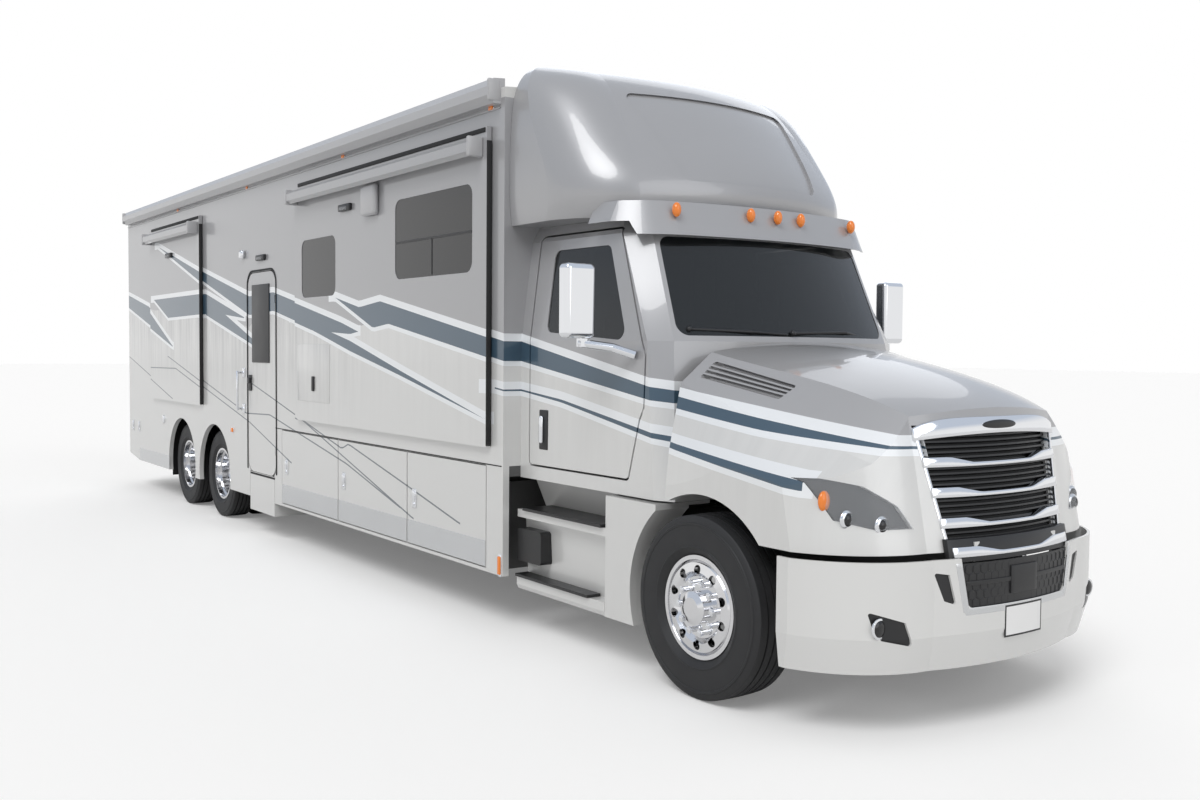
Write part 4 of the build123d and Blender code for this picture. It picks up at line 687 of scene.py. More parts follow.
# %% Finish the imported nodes
LUGGAGE_DOORS = (
    ("right_front", -1), ("right_middle", -1), ("right_rear", -1), ("left_front", 1), ("left_rear", 1),
)
NODE_FINISH = {
    chassis_black: ("frame_rails", "tow_receiver"),
    casting: ("steer_axle", "drive_axles", "powertrain", "knuckle_right", "knuckle_left"),
    floor_panel: ("coach_floor", "baggage_trays"),
    paint: (
        "coach_wall_right", "coach_wall_left", "end_walls", "cab_shell", "hood", "entry_door",
        "slide_front", "slide_rear", "slide_left", "cab_door_right", "cab_door_left", "cab_fairings",
        *(f"baggage_door_{name}" for name, _ in LUGGAGE_DOORS),
    ),
    grey_paint: ("front_cap", "sun_visor"),
    pale_paint: ("bumper", "entry_step"),
    roof_skin: ("coach_roof", "roof_air_conditioners"),
    awning_case: ("patio_awning",),
    black_trim: ("step_treads", "bumper_grille", "dashboard"),
    leather: ("cab_seats",),
    chrome: ("grille", "mirror_right", "mirror_left"),
    screen_glass: ("windshield", "cab_door_right_glass", "cab_door_left_glass"),
    dark_glass: ("entry_door_glass", "slide_front_glass", "slide_left_glass"),
    lens_red: ("tail_lamps",),
    lens_clear: ("headlamps",),
    bright_wheel: tuple(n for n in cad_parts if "rim" in n),
    rubber: tuple(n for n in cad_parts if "tyre" in n),
}
for material, names in NODE_FINISH.items():
    for name in names:
        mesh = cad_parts[name].data
        mesh.materials.clear()
        mesh.materials.append(material)
print("dressed", sum(len(v) for v in NODE_FINISH.values()), "nodes")

# %% [markdown]
# ## Tyres
# A tyre is a section turned about the axle. The section goes in as one vertex extruded along the
# sidewall, the shoulder and the grooved tread, then Spin turns it. Steer tyres have unbroken ribs.
# Drive tyres get their blocks by pushing every third row of rib faces in.

# %% Tyre builder
BEAD, LIP = 0.2865, 0.300
GROOVE_HALF, LUG_BAND, LUG_ROWS = 0.0065, 0.024, 3


def tyre_section(radius, width, grooves, groove_depth):
    half = width / 2
    # Bead to shoulder: the sidewall with a ridge near the rim and another under the shoulder
    side = [(LIP, half * 0.72), (LIP + 0.012, half * 0.86), (LIP + 0.040, half * 0.955)]
    side += [(LIP + 0.044, half * 0.985), (LIP + 0.050, half * 0.985), (LIP + 0.054, half * 0.965)]
    side += [((LIP + radius) / 2 + 0.01, half * 0.998), (radius - 0.060, half * 0.975)]
    side += [(radius - 0.056, half * 0.997), (radius - 0.046, half * 0.995), (radius - 0.042, half * 0.955)]
    side += [(radius - 0.022, half * 0.925), (radius - 0.008, half * 0.885)]
    tread_half = half * 0.86
    crown = [(radius - 0.004, tread_half)]
    for n in range(grooves):
        centre = tread_half * (1 - 2 * (n + 1) / (grooves + 1))
        lip = GROOVE_HALF
        rise = 0.004 * (centre / tread_half) ** 2
        crown += [(radius - rise, centre + lip), (radius - groove_depth, centre + lip * 0.6)]
        crown += [(radius - groove_depth, centre - lip * 0.6), (radius - rise, centre - lip)]
    mirror_side = [(r, -y) for r, y in reversed(side)]
    edge = (radius - 0.004, -tread_half)
    return [(BEAD, half * 0.70), *side, *crown, edge, *mirror_side, (BEAD, -half * 0.70)]


def spun_tyre(centre, radius, width, steps, grooves, groove_depth, lugs=0.0):
    outline = tyre_section(radius, width, grooves, groove_depth)
    clear()
    bpy.ops.mesh.primitive_plane_add(size=0.01, location=(0, 0, 0))
    piece = bpy.context.object
    bpy.ops.object.mode_set(mode="EDIT")
    bpy.ops.mesh.select_all(action="SELECT")
    bpy.ops.mesh.merge(type="CENTER")
    (r, y), rest = outline[0], outline[1:]
    bpy.ops.transform.translate(value=(0, y, r))
    for r_next, y_next in rest:
        bpy.ops.mesh.extrude_region_move(TRANSFORM_OT_translate={"value": (0, y_next - y, r_next - r)})
        r, y = r_next, y_next
    bpy.ops.mesh.select_all(action="SELECT")
    bpy.ops.mesh.spin(steps=steps, angle=tau, center=(0, 0, 0), axis=(0, 1, 0))
    bpy.ops.mesh.select_all(action="SELECT")
    bpy.ops.mesh.remove_doubles(threshold=0.0002)
    bpy.ops.mesh.normals_make_consistent(inside=False)
    bpy.ops.object.mode_set(mode="OBJECT")
    piece.data.transform(Matrix.Translation(centre))
    if lugs:
        cut_lugs(piece, centre, radius, steps, lugs)
    return piece


def cut_lugs(piece, centre, radius, steps, depth):
    """Pushes every third row of rib faces towards the axle, and a shoulder scallop with it."""
    hold(piece)
    middle = Vector(centre)
    for face in piece.data.polygons:
        spoke = face.center - middle
        reach = Vector((spoke.x, 0, spoke.z)).length
        turn = (Vector((spoke.x, spoke.z)).angle_signed(Vector((0, 1))) / tau) % 1
        row = int(turn * steps + (spoke.y > 0)) % LUG_ROWS
        face.select = reach > radius - LUG_BAND and row == 0
    bpy.ops.object.mode_set(mode="EDIT")
    bpy.ops.mesh.extrude_region_shrink_fatten(TRANSFORM_OT_shrink_fatten={"value": -depth})
    bpy.ops.object.mode_set(mode="OBJECT")


STEER_Y, DRIVE_Y, DUAL = 1.065, 1.085, 0.340
STEER_X = 5.61
STEER_R, STEER_W = 0.530, 0.310
DRIVE_R, DRIVE_W = 0.505, 0.270
steer = spun_tyre((STEER_X, -STEER_Y, STEER_R), STEER_R - 0.001, STEER_W, 96, 4, 0.016)
twin = copied(steer, flip_y=True)
for piece, side in ((steer, "right"), (twin, "left")):
    settle(piece, f"steer_tread_{side}", rubber, f"steer_wheel_{side}")
    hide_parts(f"steer_tyre_{side}")
print("steer tyre", len(steer.data.polygons), "faces")

# %% Drive tyres
for axle in ("front", "rear"):
    low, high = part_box(f"drive_tyres_{axle}_right")
    x = (low[0] + high[0]) / 2
    outer = spun_tyre((x, -DRIVE_Y, DRIVE_R), DRIVE_R - 0.001, DRIVE_W, 90, 4, 0.018, lugs=0.012)
    inner = copied(outer, (0, DUAL, 0))
    pair = join([outer, inner])
    other = copied(pair, flip_y=True)
    for piece, side in ((pair, "right"), (other, "left")):
        settle(piece, f"drive_tread_{axle}_{side}", rubber, f"drive_wheels_{axle}_{side}")
        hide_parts(f"drive_tyres_{axle}_{side}")
print("drive tyres done")

# %% [markdown]
# ## Wheel trim
# Polished hub caps and lug-nut covers catch most of the highlights in the wheel. One cover is a short
# rod with a domed, faceted end, made once and copied round the bolt circle.

# %% Nut covers and hub rings
NUTS, NUT_PCR = 10, 0.1429
STEER_DISC_OUT, DRIVE_DISC_OUT = 0.150, 0.066  # from a tyre's middle to the face under the covers


def nut_ring(x, y_face, z, sense):
    covers = []
    for n in range(NUTS):
        angle = tau * n / NUTS
        spot = (x + NUT_PCR * cos(angle), y_face, z - NUT_PCR * sin(angle))
        collar = rod(spot, 0.0215, 0.008, "y", 18, 0.002)
        dome = rod((spot[0], y_face + sense * 0.003, spot[2]), 0.0155, 0.012, "y", 6, 0.003)
        covers += [collar, dome]
    return covers


for sense, side in SIDES:
    y = sense * (STEER_Y + STEER_DISC_OUT)
    ring = nut_ring(STEER_X, y, STEER_R, sense)
    settle(join(ring), f"steer_nut_covers_{side}", chrome, f"steer_wheel_{side}")
    for axle in ("front", "rear"):
        low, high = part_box(f"drive_rims_{axle}_{side}")
        x = (low[0] + high[0]) / 2
        ring = nut_ring(x, sense * (DRIVE_Y - DUAL / 2 + DRIVE_DISC_OUT), DRIVE_R, sense)
        body = f"drive_wheels_{axle}_{side}"
        settle(join(ring), f"drive_nut_covers_{axle}_{side}", chrome, body)
print("wheel trim done")

# %% [markdown]
# ## Side hardware
# Flat seals, catches and lamps stand a few millimetres proud of the coach side. They are placed from
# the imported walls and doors, so that each sits on what carries it.

# %% Polished skirt strips
SIDE_Y = 1.295
STRIP_TOP = 0.605
STRIP_THICK = 0.0025


def strip(name, x0, x1, z0, z1, side, material, body, thick=STRIP_THICK, edge=0.0008):
    y0, y1 = side * (SIDE_Y - 0.0002), side * (SIDE_Y + thick)
    return settle(bar((x0, y0, z0), (x1, y1, z1), edge, 1), name, material, body)


for name, side in LUGGAGE_DOORS:
    node = f"baggage_door_{name}"
    low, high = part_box(node)
    x0, x1, foot = low[0] + 0.004, high[0] - 0.004, low[2] + 0.003
    strip(f"{name}_skirt_strip", x0, x1, foot, STRIP_TOP, side, steel_strip, node)
for side, tag in SIDES:
    strip(f"{tag}_tail_strip", -6.28, -4.80, 0.392, 0.560, side, steel_strip, "chassis")
print("strips done")

# %% Paddle catches on the luggage doors
def paddle_catch(name, x, z, side, body):
    back = bar(
        (x - 0.034, side * (SIDE_Y - 0.001), z - 0.075),
        (x + 0.034, side * (SIDE_Y + 0.009), z + 0.075), 0.008, 3,
    )
    paddle = bar(
        (x - 0.024, side * (SIDE_Y + 0.008), z - 0.020),
        (x + 0.024, side * (SIDE_Y + 0.018), z + 0.062), 0.005, 2,
    )
    lock = rod((x, side * (SIDE_Y + 0.011), z - 0.045), 0.011, 0.012, "y", 18, 0.002)
    return settle(join([back, paddle, lock]), name, chrome, body)


for name, side in LUGGAGE_DOORS:
    low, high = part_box(f"baggage_door_{name}")
    paddle_catch(f"{name}_catch", low[0] + 0.13, 0.79, side, f"baggage_door_{name}")
for side, tag in SIDES:
    for n, x in enumerate((-6.62, -6.30)):
        paddle_catch(f"{tag}_tail_catch_{n}", x, 0.86, side, "chassis")
print("catches done")

# %% [markdown]
# ## Slide-out seals and awnings
# A black bulb seal shows along the front edge of each slide-out room, and a dark slot over it where
# the room enters the wall. The awning cases have plain end caps.

# %% Slide seals, slots and awning end caps
for node, side, body in (
    ("slide_front", -1, "front_slide_room"), ("slide_rear", -1, "rear_slide_room"),
    ("slide_left", 1, "left_slide_room"),
):
    low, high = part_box(node)
    x0, x1, z0, z1 = low[0], high[0], low[2], high[2]
    face = side * (SIDE_Y + 0.006 + 0.038)
    y0, y1 = side * (SIDE_Y + 0.0065), face + side * 0.002
    front_seal = bar((x1 - 0.001, y0, z0 + 0.01), (x1 + 0.011, y1, z1 - 0.10), 0.004, 2)
    foot, head = (x0 + 0.10, face - side * 0.004, z1 - 0.040), (x1 - 0.02, y1 + side * 0.006, z1 - 0.006)
    top_seal = bar(foot, head, 0.004, 2)
    settle(join([front_seal, top_seal]), f"{node}_seal", seal, body)
    pieces = []
    for x in (x0 + 0.052, x1 - 0.088):
        foot, head = (x, face - side * 0.001, z1 - 0.212), (x + 0.036, face + side * 0.121, z1 - 0.070)
        pieces.append(bar(foot, head, 0.012, 3))
    settle(join(pieces), f"{node}_awning_caps", awning_case, body)
low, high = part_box("patio_awning")
pieces = []
for x in (low[0] - 0.004, high[0] - 0.026):
    foot, head = (x, low[1] - 0.0004, low[2] + 0.012), (x + 0.030, low[1] + 0.100, high[2] - 0.010)
    pieces.append(bar(foot, head, 0.014, 3))
settle(join(pieces), "patio_awning_caps", awning_case, "chassis")
strip("right_gutter", -6.82, 3.56, 3.668, 3.682, -1, awning_case, "chassis", 0.010, 0.003)
strip("left_gutter", -6.82, 3.56, 3.668, 3.682, 1, awning_case, "chassis", 0.010, 0.003)
strip("right_compartment_line", -0.9, 3.60, 1.160, 1.168, -1, seal, "chassis", 0.002, 0.0)
print("seals done")

# %% [markdown]
# ## Lamps and fittings on the coach side
# Small lamps are a bright base with an amber lens. They repeat, so one function makes them.

# %% Side lamps and fittings
BASE_SHARE, LAMP_OUT = 0.62, 0.016


def small_lamp(name, x, z, side, length=0.055, tall=0.030):
    """A bright base and an amber lens on the coach side."""
    wide, high = length * BASE_SHARE, tall * BASE_SHARE
    foot, head = (x - wide, side * (SIDE_Y - 0.001), z - high), (x + wide, side * (SIDE_Y + 0.006), z + high)
    settle(bar(foot, head, 0.003, 2), f"{name}_base", chrome, "chassis")
    wide, high = length / 2, tall / 2
    foot = (x - wide, side * (SIDE_Y + 0.003), z - high)
    head = (x + wide, side * (SIDE_Y + LAMP_OUT), z + high)
    return settle(bar(foot, head, 0.006, 3), name, lens_amber, "chassis")


for side, tag in SIDES:
    for n, x in enumerate((-4.31, -1.72, 0.84, 3.44)):
        small_lamp(f"{tag}_roof_marker_{n}", x, 3.69, side)
    small_lamp(f"{tag}_side_marker", -2.25, 1.06, side, 0.07, 0.05)
    small_lamp(f"{tag}_skirt_marker", 3.585, 0.46, side, 0.035, 0.13)
FASCIA_Y = SIDE_Y + 0.044
for name, x, z, body, y_base in (
    ("door_light", -1.28, 2.92, "chassis", SIDE_Y),
    ("front_room_light", 1.0, 3.22, "front_slide_room", FASCIA_Y),
    ("rear_room_light", -4.55, 3.14, "rear_slide_room", FASCIA_Y),
):
    housing = bar(
        (x - 0.125, -(y_base - 0.001), z - 0.030), (x + 0.125, -(y_base + 0.030), z + 0.030), 0.010, 3,
    )
    settle(housing, f"{name}_housing", black_trim, body)
    lens = bar((x - 0.095, -(y_base + 0.020), z - 0.024), (x + 0.060, -(y_base + 0.034), z + 0.008), 0.006, 3)
    settle(lens, name, lens_clear, body)
vent = bar((1.40, -(FASCIA_Y - 0.001), 3.10), (1.68, -(FASCIA_Y + 0.055), 3.36), 0.030, 4)
settle(vent, "range_hood_vent", awning_case, "front_slide_room")
camera_pod = bar((-1.90, -(SIDE_Y - 0.001), 2.94), (-1.80, -(SIDE_Y + 0.045), 3.03), 0.018, 3)
settle(camera_pod, "side_view_camera", chrome, "chassis")
HATCH = ((-0.16, 1.48), (0.62, 1.48), (0.62, 2.02), (-0.16, 2.02))
hatch = plate(HATCH, -(FASCIA_Y - 0.0005), -(FASCIA_Y + 0.004), 0.0015)
settle(hatch, "outside_kitchen_hatch", paint, "front_slide_room")
pull = bar((0.225, -(FASCIA_Y + 0.003), 1.58), (0.275, -(FASCIA_Y + 0.022), 1.72), 0.012, 3)
settle(pull, "kitchen_hatch_pull", black_trim, "front_slide_room")
port = rod((-5.05, -(SIDE_Y + 0.006), 1.03), 0.055, 0.014, "y", 28, 0.004)
settle(port, "shore_power_port", chrome, "chassis")
print("coach fittings done")

# %% [markdown]
# ## Entry door hardware
# The door has a moulded frame, a black window, a lock with a flush paddle and a fold-out grab bar on
# the wall.

# %% Entry door
low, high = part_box("entry_door")
frame_out = bar(
    (low[0] + 0.135, -(SIDE_Y - 0.002), 1.825), (high[0] - 0.17, -(SIDE_Y + 0.010), 2.645), 0.055, 4,
)
settle(frame_out, "entry_window_frame", black_trim, "entry_door")
lock_plate = bar(
    (low[0] + 0.03, -(SIDE_Y - 0.001), 1.52), (low[0] + 0.115, -(SIDE_Y + 0.014), 1.69), 0.010, 3,
)
lever = bar((low[0] + 0.042, -(SIDE_Y + 0.012), 1.60), (low[0] + 0.103, -(SIDE_Y + 0.030), 1.66), 0.008, 3)
settle(join([lock_plate, lever]), "entry_lock", black_trim, "entry_door")
GRAB_X, GRAB_Z, GRAB_OUT = -1.86, (1.30, 1.73), 0.075
rail = rod((GRAB_X, -(SIDE_Y + GRAB_OUT), sum(GRAB_Z) / 2), 0.014, GRAB_Z[1] - GRAB_Z[0], "z", 20, 0.004)
grab = [rail]
for z in (GRAB_Z[0] + 0.02, GRAB_Z[1] - 0.02):
    grab.append(rod((GRAB_X, -(SIDE_Y + GRAB_OUT / 2), z), 0.013, GRAB_OUT + 0.004, "y", 20))
    foot, head = (GRAB_X - 0.035, -(SIDE_Y - 0.001), z - 0.05), (GRAB_X + 0.035, -(SIDE_Y + 0.012), z + 0.05)
    grab.append(bar(foot, head, 0.008, 3))
settle(join(grab), "entry_grab_bar", chrome, "chassis")
strip("entry_step_slot", -1.66, -0.92, 0.628, 0.648, -1, seal, "chassis", 0.002, 0.0)
low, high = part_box("entry_door")
MOULD_GAP, MOULD_WIDE, MOULD_OUT, MOULD_R, MOULD_STEPS = 0.012, 0.020, 0.007, 0.135, 8


def arch(grow):
    """The door's outline from foot to foot over the top, grown outward, as (x, z)."""
    x0, x1, z0, z1 = low[0] - grow, high[0] + grow, low[2] + 0.02, high[2] + grow
    corner = MOULD_R + grow
    turn = [pi / 2 * n / MOULD_STEPS for n in range(MOULD_STEPS + 1)]
    first = [(x0 + corner * (1 - cos(a)), z1 - corner * (1 - sin(a))) for a in turn]
    second = [(x1 - corner * (1 - sin(a)), z1 - corner * (1 - cos(a))) for a in turn]
    return [(x0, z0), *first, *second, (x1, z0)]


inner, outer = arch(MOULD_GAP), arch(MOULD_GAP + MOULD_WIDE)
pairs = [((a[0], -SIDE_Y, a[1]), (b[0], -SIDE_Y, b[1])) for a, b in zip(inner, outer)]
moulding = skin(pairs, (0, -MOULD_OUT, 0), 0.002)
settle(moulding, "entry_door_moulding", seal, "chassis")
print("entry door done")

# %% [markdown]
# ## Coach windows
# The larger window has an aluminium mullion and a lower sliding pane.

# %% Window bars
FASCIA_GLASS_Y = SIDE_Y + 0.040


def window_bars(tag, x0, x1, z0, z1, side, body):
    mid = z0 + (z1 - z0) * 0.46
    y0, y1 = side * (FASCIA_GLASS_Y - 0.002), side * (FASCIA_GLASS_Y + 0.004)
    sill = bar((x0 + 0.01, y0, mid - 0.009), (x1 - 0.01, y1, mid + 0.009), 0.002, 1)
    post = bar(((x0 + x1) / 2 - 0.008, y0, z0 + 0.01), ((x0 + x1) / 2 + 0.008, y1, mid), 0.002, 1)
    settle(join([sill, post]), f"{tag}_window_bars", black_trim, body)


window_bars("front_room", 1.977, 3.245, 2.545, 3.183, -1, "front_slide_room")
window_bars("left_room", 1.052, 2.32, 2.545, 3.183, 1, "left_slide_room")
print("window bars done")

# %% [markdown]
# ## Cab details
# The cab doors have a bright pull in a dark cup, and five amber marker lamps sit on the sun visor.

# %% Cab doors
CAB_SIDE_Y = 1.143
for side, tag in SIDES:
    foot, head = (3.86, side * (CAB_SIDE_Y - 0.006), 1.30), (3.965, side * (CAB_SIDE_Y + 0.010), 1.575)
    recess = bar(foot, head, 0.022, 4)
    settle(recess, f"{tag}_door_pull_cup", black_trim, f"cab_door_{tag}")
    foot, head = (3.885, side * (CAB_SIDE_Y + 0.006), 1.345), (3.925, side * (CAB_SIDE_Y + 0.034), 1.535)
    grip = bar(foot, head, 0.012, 3)
    settle(grip, f"{tag}_door_pull", chrome, f"cab_door_{tag}")
print("cab door pulls done")

# %% Roof markers on the sun visor
MARKERS = ((4.915, 0.802), (4.985, 0.23), (5.0, 0.0), (4.985, -0.23), (4.915, -0.802))
for n, (x, y) in enumerate(MARKERS):
    lens = oval((x - 0.010, y, 2.880), (0.030, 0.030, 0.047))
    settle(lens, f"visor_marker_{n}", lens_amber, "chassis")
print("visor markers done")

# %% [markdown]
# ## Grille
# The nose is bowed across and leans back, so its bright parts are pressed to the same curve. Each
# strip below is a row of short flat facets laid on that curve and given a thickness, as a pressed
# moulding follows its die. The four bars are slim in the middle and widen into wings at their ends.

# %% Bowed fronts
NOSE_FOOT, NOSE_FOOT_Z, NOSE_LEAN, NOSE_R = 6.900, 0.705, 0.2029, 2.102
BUMPER_FRONT, BUMPER_R, BUMPER_CHIN, CHIN_LEAN = 6.910, 2.203, 0.535, 0.237


def nose(y, z, stand):
    bow = NOSE_R - sqrt(NOSE_R**2 - y * y)
    return (NOSE_FOOT - NOSE_LEAN * (z - NOSE_FOOT_Z) - bow + stand, y, z)


def bumper_front(y, z, stand):
    bow = BUMPER_R - sqrt(BUMPER_R**2 - y * y)
    return (BUMPER_FRONT - bow - CHIN_LEAN * max(0.0, BUMPER_CHIN - z) + stand, y, z)


def upright_front(y, z, stand):
    """The bumper's bow carried straight down over its chin, where the plate hangs."""
    return (bumper_front(y, BUMPER_CHIN, stand)[0], y, z)


def across(half, low, high, surface, stand, count=32):
    """Pairs of points from right to left, between two edges given by their height at y."""
    ys = [half * (2 * n / count - 1) for n in range(count + 1)]
    return [(surface(y, low(y), stand), surface(y, high(y), stand)) for y in ys]


def upward(outer, inner, z0, z1, side, surface, stand, count=8):
    """Pairs of points from a foot up to a head, between two edges given by their y at a height."""
    zs = [z0 + (z1 - z0) * n / count for n in range(count + 1)]
    return [(surface(side * outer(z), z, stand), surface(side * inner(z), z, stand)) for z in zs]


def level(z):
    """An edge at one height all the way across."""
    return lambda y: z


print("nose middle", [round(v, 3) for v in nose(0, 1.3, 0.014)])

# %% Chrome grille
GRILLE_FOOT, BAND_LOW, BAND_TOP, BAND_HALF = 0.931, 1.560, 1.650, 0.62
BAND_DROP = (0.03, 0.055)  # how much lower the band's lower and upper edges are at its ends
BAR_FEET = (1.391, 1.234, 1.077, GRILLE_FOOT)
BAR_THIN, WING_TALL, WING_LONG, WING_SLOPE, POST_WIDE = 0.022, 0.053, 0.17, 0.16, 0.022
CHROME_STAND = 0.014
RAIL_STAND, SHIELD_STAND = 0.042, 0.034  # the lowest bar and the black strip behind it cover the hood's ears


def grille_half(z):
    return 0.500 + 0.17 * (z - GRILLE_FOOT)


def post_inside(z):
    return grille_half(z) - POST_WIDE


def bar_top(foot, half):
    def top(y):
        rise = min(1.0, max(0.0, (abs(y) - (half - WING_LONG - WING_SLOPE)) / WING_SLOPE))
        return foot + BAR_THIN + (WING_TALL - BAR_THIN) * rise
    return top


def band_low(y):
    return BAND_LOW - BAND_DROP[0] * (y / BAND_HALF) ** 2


def band_top(y):
    return BAND_TOP - BAND_DROP[1] * (abs(y) / BAND_HALF) ** 5


pieces = [skin(across(BAND_HALF, band_low, band_top, nose, CHROME_STAND), (-0.03, 0, 0), 0.006)]
for foot in BAR_FEET:
    half = grille_half(foot + WING_TALL / 2)
    stand = RAIL_STAND if foot == GRILLE_FOOT else CHROME_STAND
    edges = across(half, level(foot), bar_top(foot, half), nose, stand)
    pieces.append(skin(edges, (-0.045, 0, 0), 0.005))
for side in (-1, 1):
    edges = upward(grille_half, post_inside, GRILLE_FOOT + 0.02, BAND_LOW, side, nose, 0.004)
    pieces.append(skin(edges, (-0.03, 0, 0), 0.003))
grille = settle(join(pieces), "winged_grille", chrome, "hood")
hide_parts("grille")
shield = skin(across(0.53, level(0.906), level(1.024), nose, SHIELD_STAND), (-0.03, 0, 0), 0.002)
settle(shield, "grille_shield", black_trim, "hood")
slats = []
SLATS, SLAT_TOP, SLAT_BOTTOM = 20, 1.55, 1.02
for n in range(SLATS):
    z = SLAT_BOTTOM + (SLAT_TOP - SLAT_BOTTOM) * n / (SLATS - 1)
    edges = across(grille_half(z) - 0.01, level(z - 0.006), level(z + 0.004), nose, -0.022, 12)
    slats.append(skin(edges, (-0.02, 0, -0.01)))
settle(join(slats), "grille_slats", black_trim, "hood", smooth=0)
backing = skin(across(0.60, level(0.96), level(1.60), nose, -0.05, 12), (-0.02, 0, 0))
settle(backing, "grille_backing", seal, "hood", smooth=0)
BADGE_Z, BADGE_HALF = 1.604, (0.150, 0.029)
for name, grow, stand, material, slot in (
    ("badge_rim", 0.006, 0.004, chrome, "bright_chrome"),
    ("blank_badge", 0.0, 0.008, black_trim, "black_plastic"),
):
    half_y, half_z = BADGE_HALF[0] + grow, BADGE_HALF[1] + grow
    settle(oval(nose(0, BADGE_Z, stand), (0.014, half_y, half_z), 40), name, material, "hood")
print("grille faces", len(grille.data.polygons))

# %% [markdown]
# ## Bumper
# The lower opening has a grey frame with three sides, a cross bar, a plain centre panel and a
# hexagonal mesh. The number plate is blank. It is bent to the bumper, so that it stays within the
# vehicle's length.

# %% Lower grille, mesh and plate
LOWER_Z, LOWER_HALF, FRAME_WIDE = (0.668, 0.905), (0.425, 0.475), 0.038


def lower_half(z):
    share = (z - LOWER_Z[0]) / (LOWER_Z[1] - LOWER_Z[0])
    return LOWER_HALF[0] + share * (LOWER_HALF[1] - LOWER_HALF[0])


def frame_half(z):
    return lower_half(z) + FRAME_WIDE


FRAME_BACK, FRAME_EDGE = (-0.006, 0, 0), 0.0005
edges = across(LOWER_HALF[0] + 0.02, level(LOWER_Z[0] - FRAME_WIDE), level(LOWER_Z[0]), bumper_front, 0.0006)
pieces = [skin(edges, FRAME_BACK, FRAME_EDGE)]
for side in (-1, 1):
    foot = LOWER_Z[0] - FRAME_WIDE * 0.6
    edges = upward(frame_half, lower_half, foot, LOWER_Z[1], side, bumper_front, 0.0012)
    pieces.append(skin(edges, FRAME_BACK, FRAME_EDGE))
settle(join(pieces), "lower_grille_frame", steel_strip, "chassis")
MID_Z = 0.795
edges = across(0.44, level(MID_Z - 0.012), level(MID_Z + 0.012), bumper_front, -0.004)
cross = skin(edges, (-0.02, 0, 0), 0.003)
panel = skin(across(0.115, level(0.715), level(0.865), bumper_front, -0.001, 8), (-0.02, 0, 0), 0.004)
settle(join([cross, panel]), "lower_grille_bar", black_trim, "chassis")
HEX, HEX_WIRE = 0.030, 0.0035
clear()
bpy.ops.mesh.primitive_torus_add(
    major_segments=6, minor_segments=4, major_radius=HEX, minor_radius=HEX_WIRE, rotation=(0, pi / 2, 0)
)
cell = bpy.context.object
bpy.ops.object.transform_apply(location=True, rotation=True, scale=True)
cells = []
for row in range(6):
    z = LOWER_Z[0] + 0.02 + row * HEX * 1.5
    for column in range(-8, 9):
        y = (column + 0.5 * (row % 2)) * HEX * sqrt(3)
        if z < LOWER_Z[1] and abs(y) < lower_half(z) - 0.012:
            cells.append(copied(cell, bumper_front(y, z, -0.014)))
bpy.data.objects.remove(cell, do_unlink=True)
settle(join(cells), "hexagon_mesh", black_trim, "chassis", smooth=0)
PLATE_Z, PLATE_HALF = 0.570, (0.1525, 0.076)
for name, grow, stand, material, slot in (
    ("plate_frame", 0.010, 0.0008, black_trim, "black_plastic"),
    ("blank_number_plate", 0.0, 0.0016, plate_white, "pale_paint"),
):
    low, high = level(PLATE_Z - PLATE_HALF[1] - grow), level(PLATE_Z + PLATE_HALF[1] + grow)
    piece = skin(across(PLATE_HALF[0] + grow, low, high, upright_front, stand, 10), (-0.003, 0, 0))
    settle(piece, name, material, "chassis")
print("bumper front done")

# %% [markdown]
# ## Headlamps and fog lamps
# Behind the clear headlamp cover are a black housing, two projectors in bright rings and an amber
# turn lamp. The housing is the cover's own shape set back, so it fits the corner of the hood.

# %% Lamps
def front_of(node, y, z):
    """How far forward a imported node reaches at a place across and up."""
    found, place, _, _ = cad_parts[node].ray_cast((9, y, z), (-1, 0, 0))
    return place.x if found else None


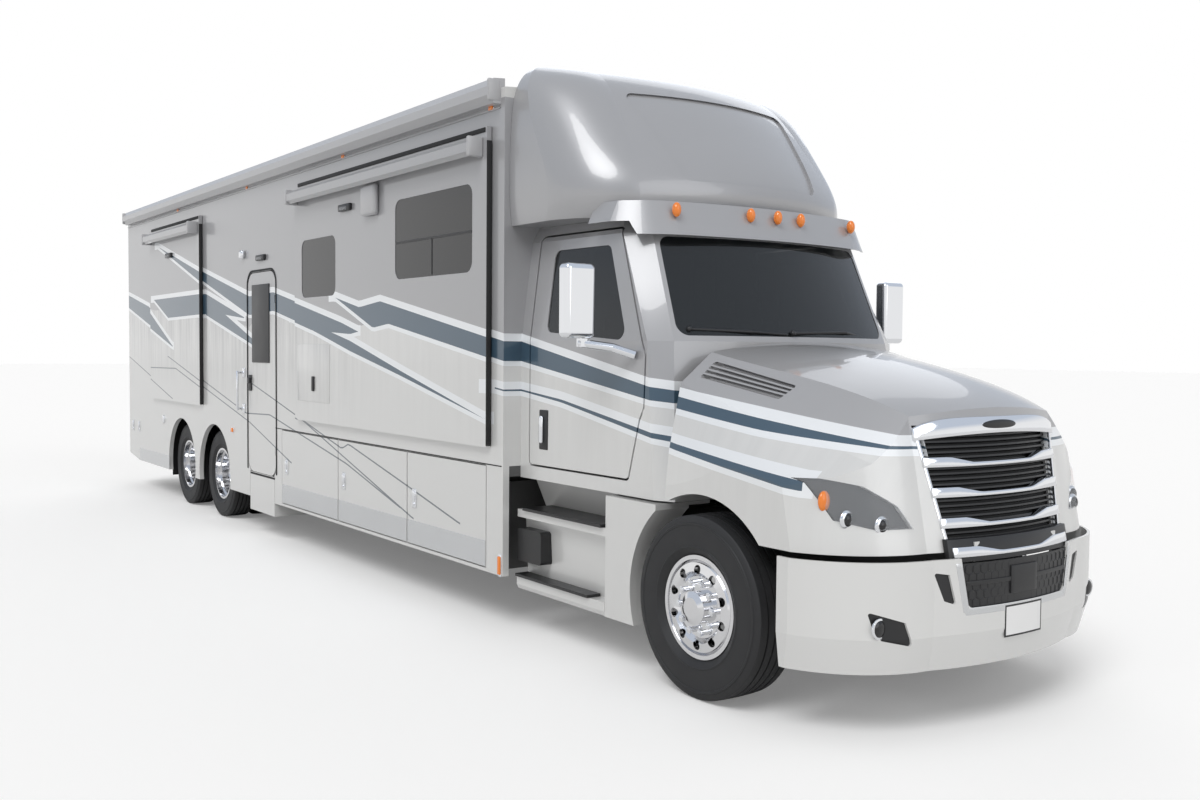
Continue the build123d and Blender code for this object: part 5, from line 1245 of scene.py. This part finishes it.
# Places across and up, with the projectors' radius
PROJECTORS, BULB_SHARE = ((1.000, 1.135, 0.052), (0.852, 1.105, 0.052)), 0.72
TURN_LAMP, FOG_LAMP = (1.075, 1.225), (0.93, 0.594)
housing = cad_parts["headlamps"].copy()
housing.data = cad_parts["headlamps"].data.copy()
bpy.context.collection.objects.link(housing)
housing.data.transform(Matrix.Diagonal((1, 0.985, 1, 1)) @ Matrix.Translation((-0.032, 0, 0)))
settle(housing, "headlamp_housing", black_trim, "hood")
for side, tag in SIDES:
    rims, bulbs = [], []
    for y, z, size in PROJECTORS:
        x = front_of("headlamps", side * y, z)
        if x is None:
            continue
        bulb = size * BULB_SHARE
        rims.append(oval((x - 0.030, side * y, z), (0.020, size, size), 28))
        bulbs.append(oval((x - 0.020, side * y, z), (0.020, bulb, bulb), 24))
    settle(join(rims), f"{tag}_headlamp_rims", chrome, "hood")
    settle(join(bulbs), f"{tag}_headlamp_projectors", dark_glass, "hood")
    y, z = side * TURN_LAMP[0], TURN_LAMP[1]
    x = front_of("headlamps", y, z)
    if x is not None:
        amber = oval((x - 0.028, y, z), (0.022, 0.040, 0.055))
        settle(amber, f"{tag}_turn_lamp", lens_amber, "hood")
    y, z = side * FOG_LAMP[0], FOG_LAMP[1]
    x = front_of("bumper_grille", y, z)
    if x is not None:
        ring = rod((x + 0.003, y, z), 0.056, 0.012, "x", 32, 0.004)
        settle(ring, f"{tag}_fog_ring", chrome, "chassis")
        lens = oval((x + 0.004, y, z), (0.016, 0.046, 0.046), 24)
        settle(lens, f"{tag}_fog_lens", dark_glass, "chassis")
print("lamps done")

# %% [markdown]
# ## Wipers
# Two arms lie along the foot of the windscreen. Each is two rods joined end to end, the outer one thinner,
# with a ball at its pivot.

# %% Wipers
WIPERS = (
    ((5.100, -0.851, 2.125), (5.215, -0.424, 2.112), (5.243, -0.150, 2.098)),
    ((5.248, -0.103, 2.108), (5.208, 0.437, 2.122), (5.130, 0.700, 2.095)),
)
for n, (start, middle, end) in enumerate(WIPERS):
    arm = join([link(start, middle, 0.011), link(middle, end, 0.008), oval(start, (0.02, 0.02, 0.02), 12)])
    settle(arm, f"wiper_{n}", black_trim, "chassis")
print("wipers done")

# %% [markdown]
# ## Mud flaps and tail
# Black flaps hang behind the rear axle, and the exhaust leaves under the tail.

# %% Mud flaps and exhaust
for side, tag in SIDES:
    flap = bar((-4.93, side * 0.62, 0.30), (-4.922, side * 1.22, 1.06), 0.002, 1)
    settle(flap, f"{tag}_mud_flap", seal, "chassis")
EXHAUST_PLACE, EXHAUST_R, EXHAUST_LONG = (-5.9, -0.95, 0.40), 0.065, 0.9
exhaust = rod(EXHAUST_PLACE, EXHAUST_R, EXHAUST_LONG, "x", 32)
settle(exhaust, "exhaust_pipe", chassis_black, "chassis")
print("tail done")
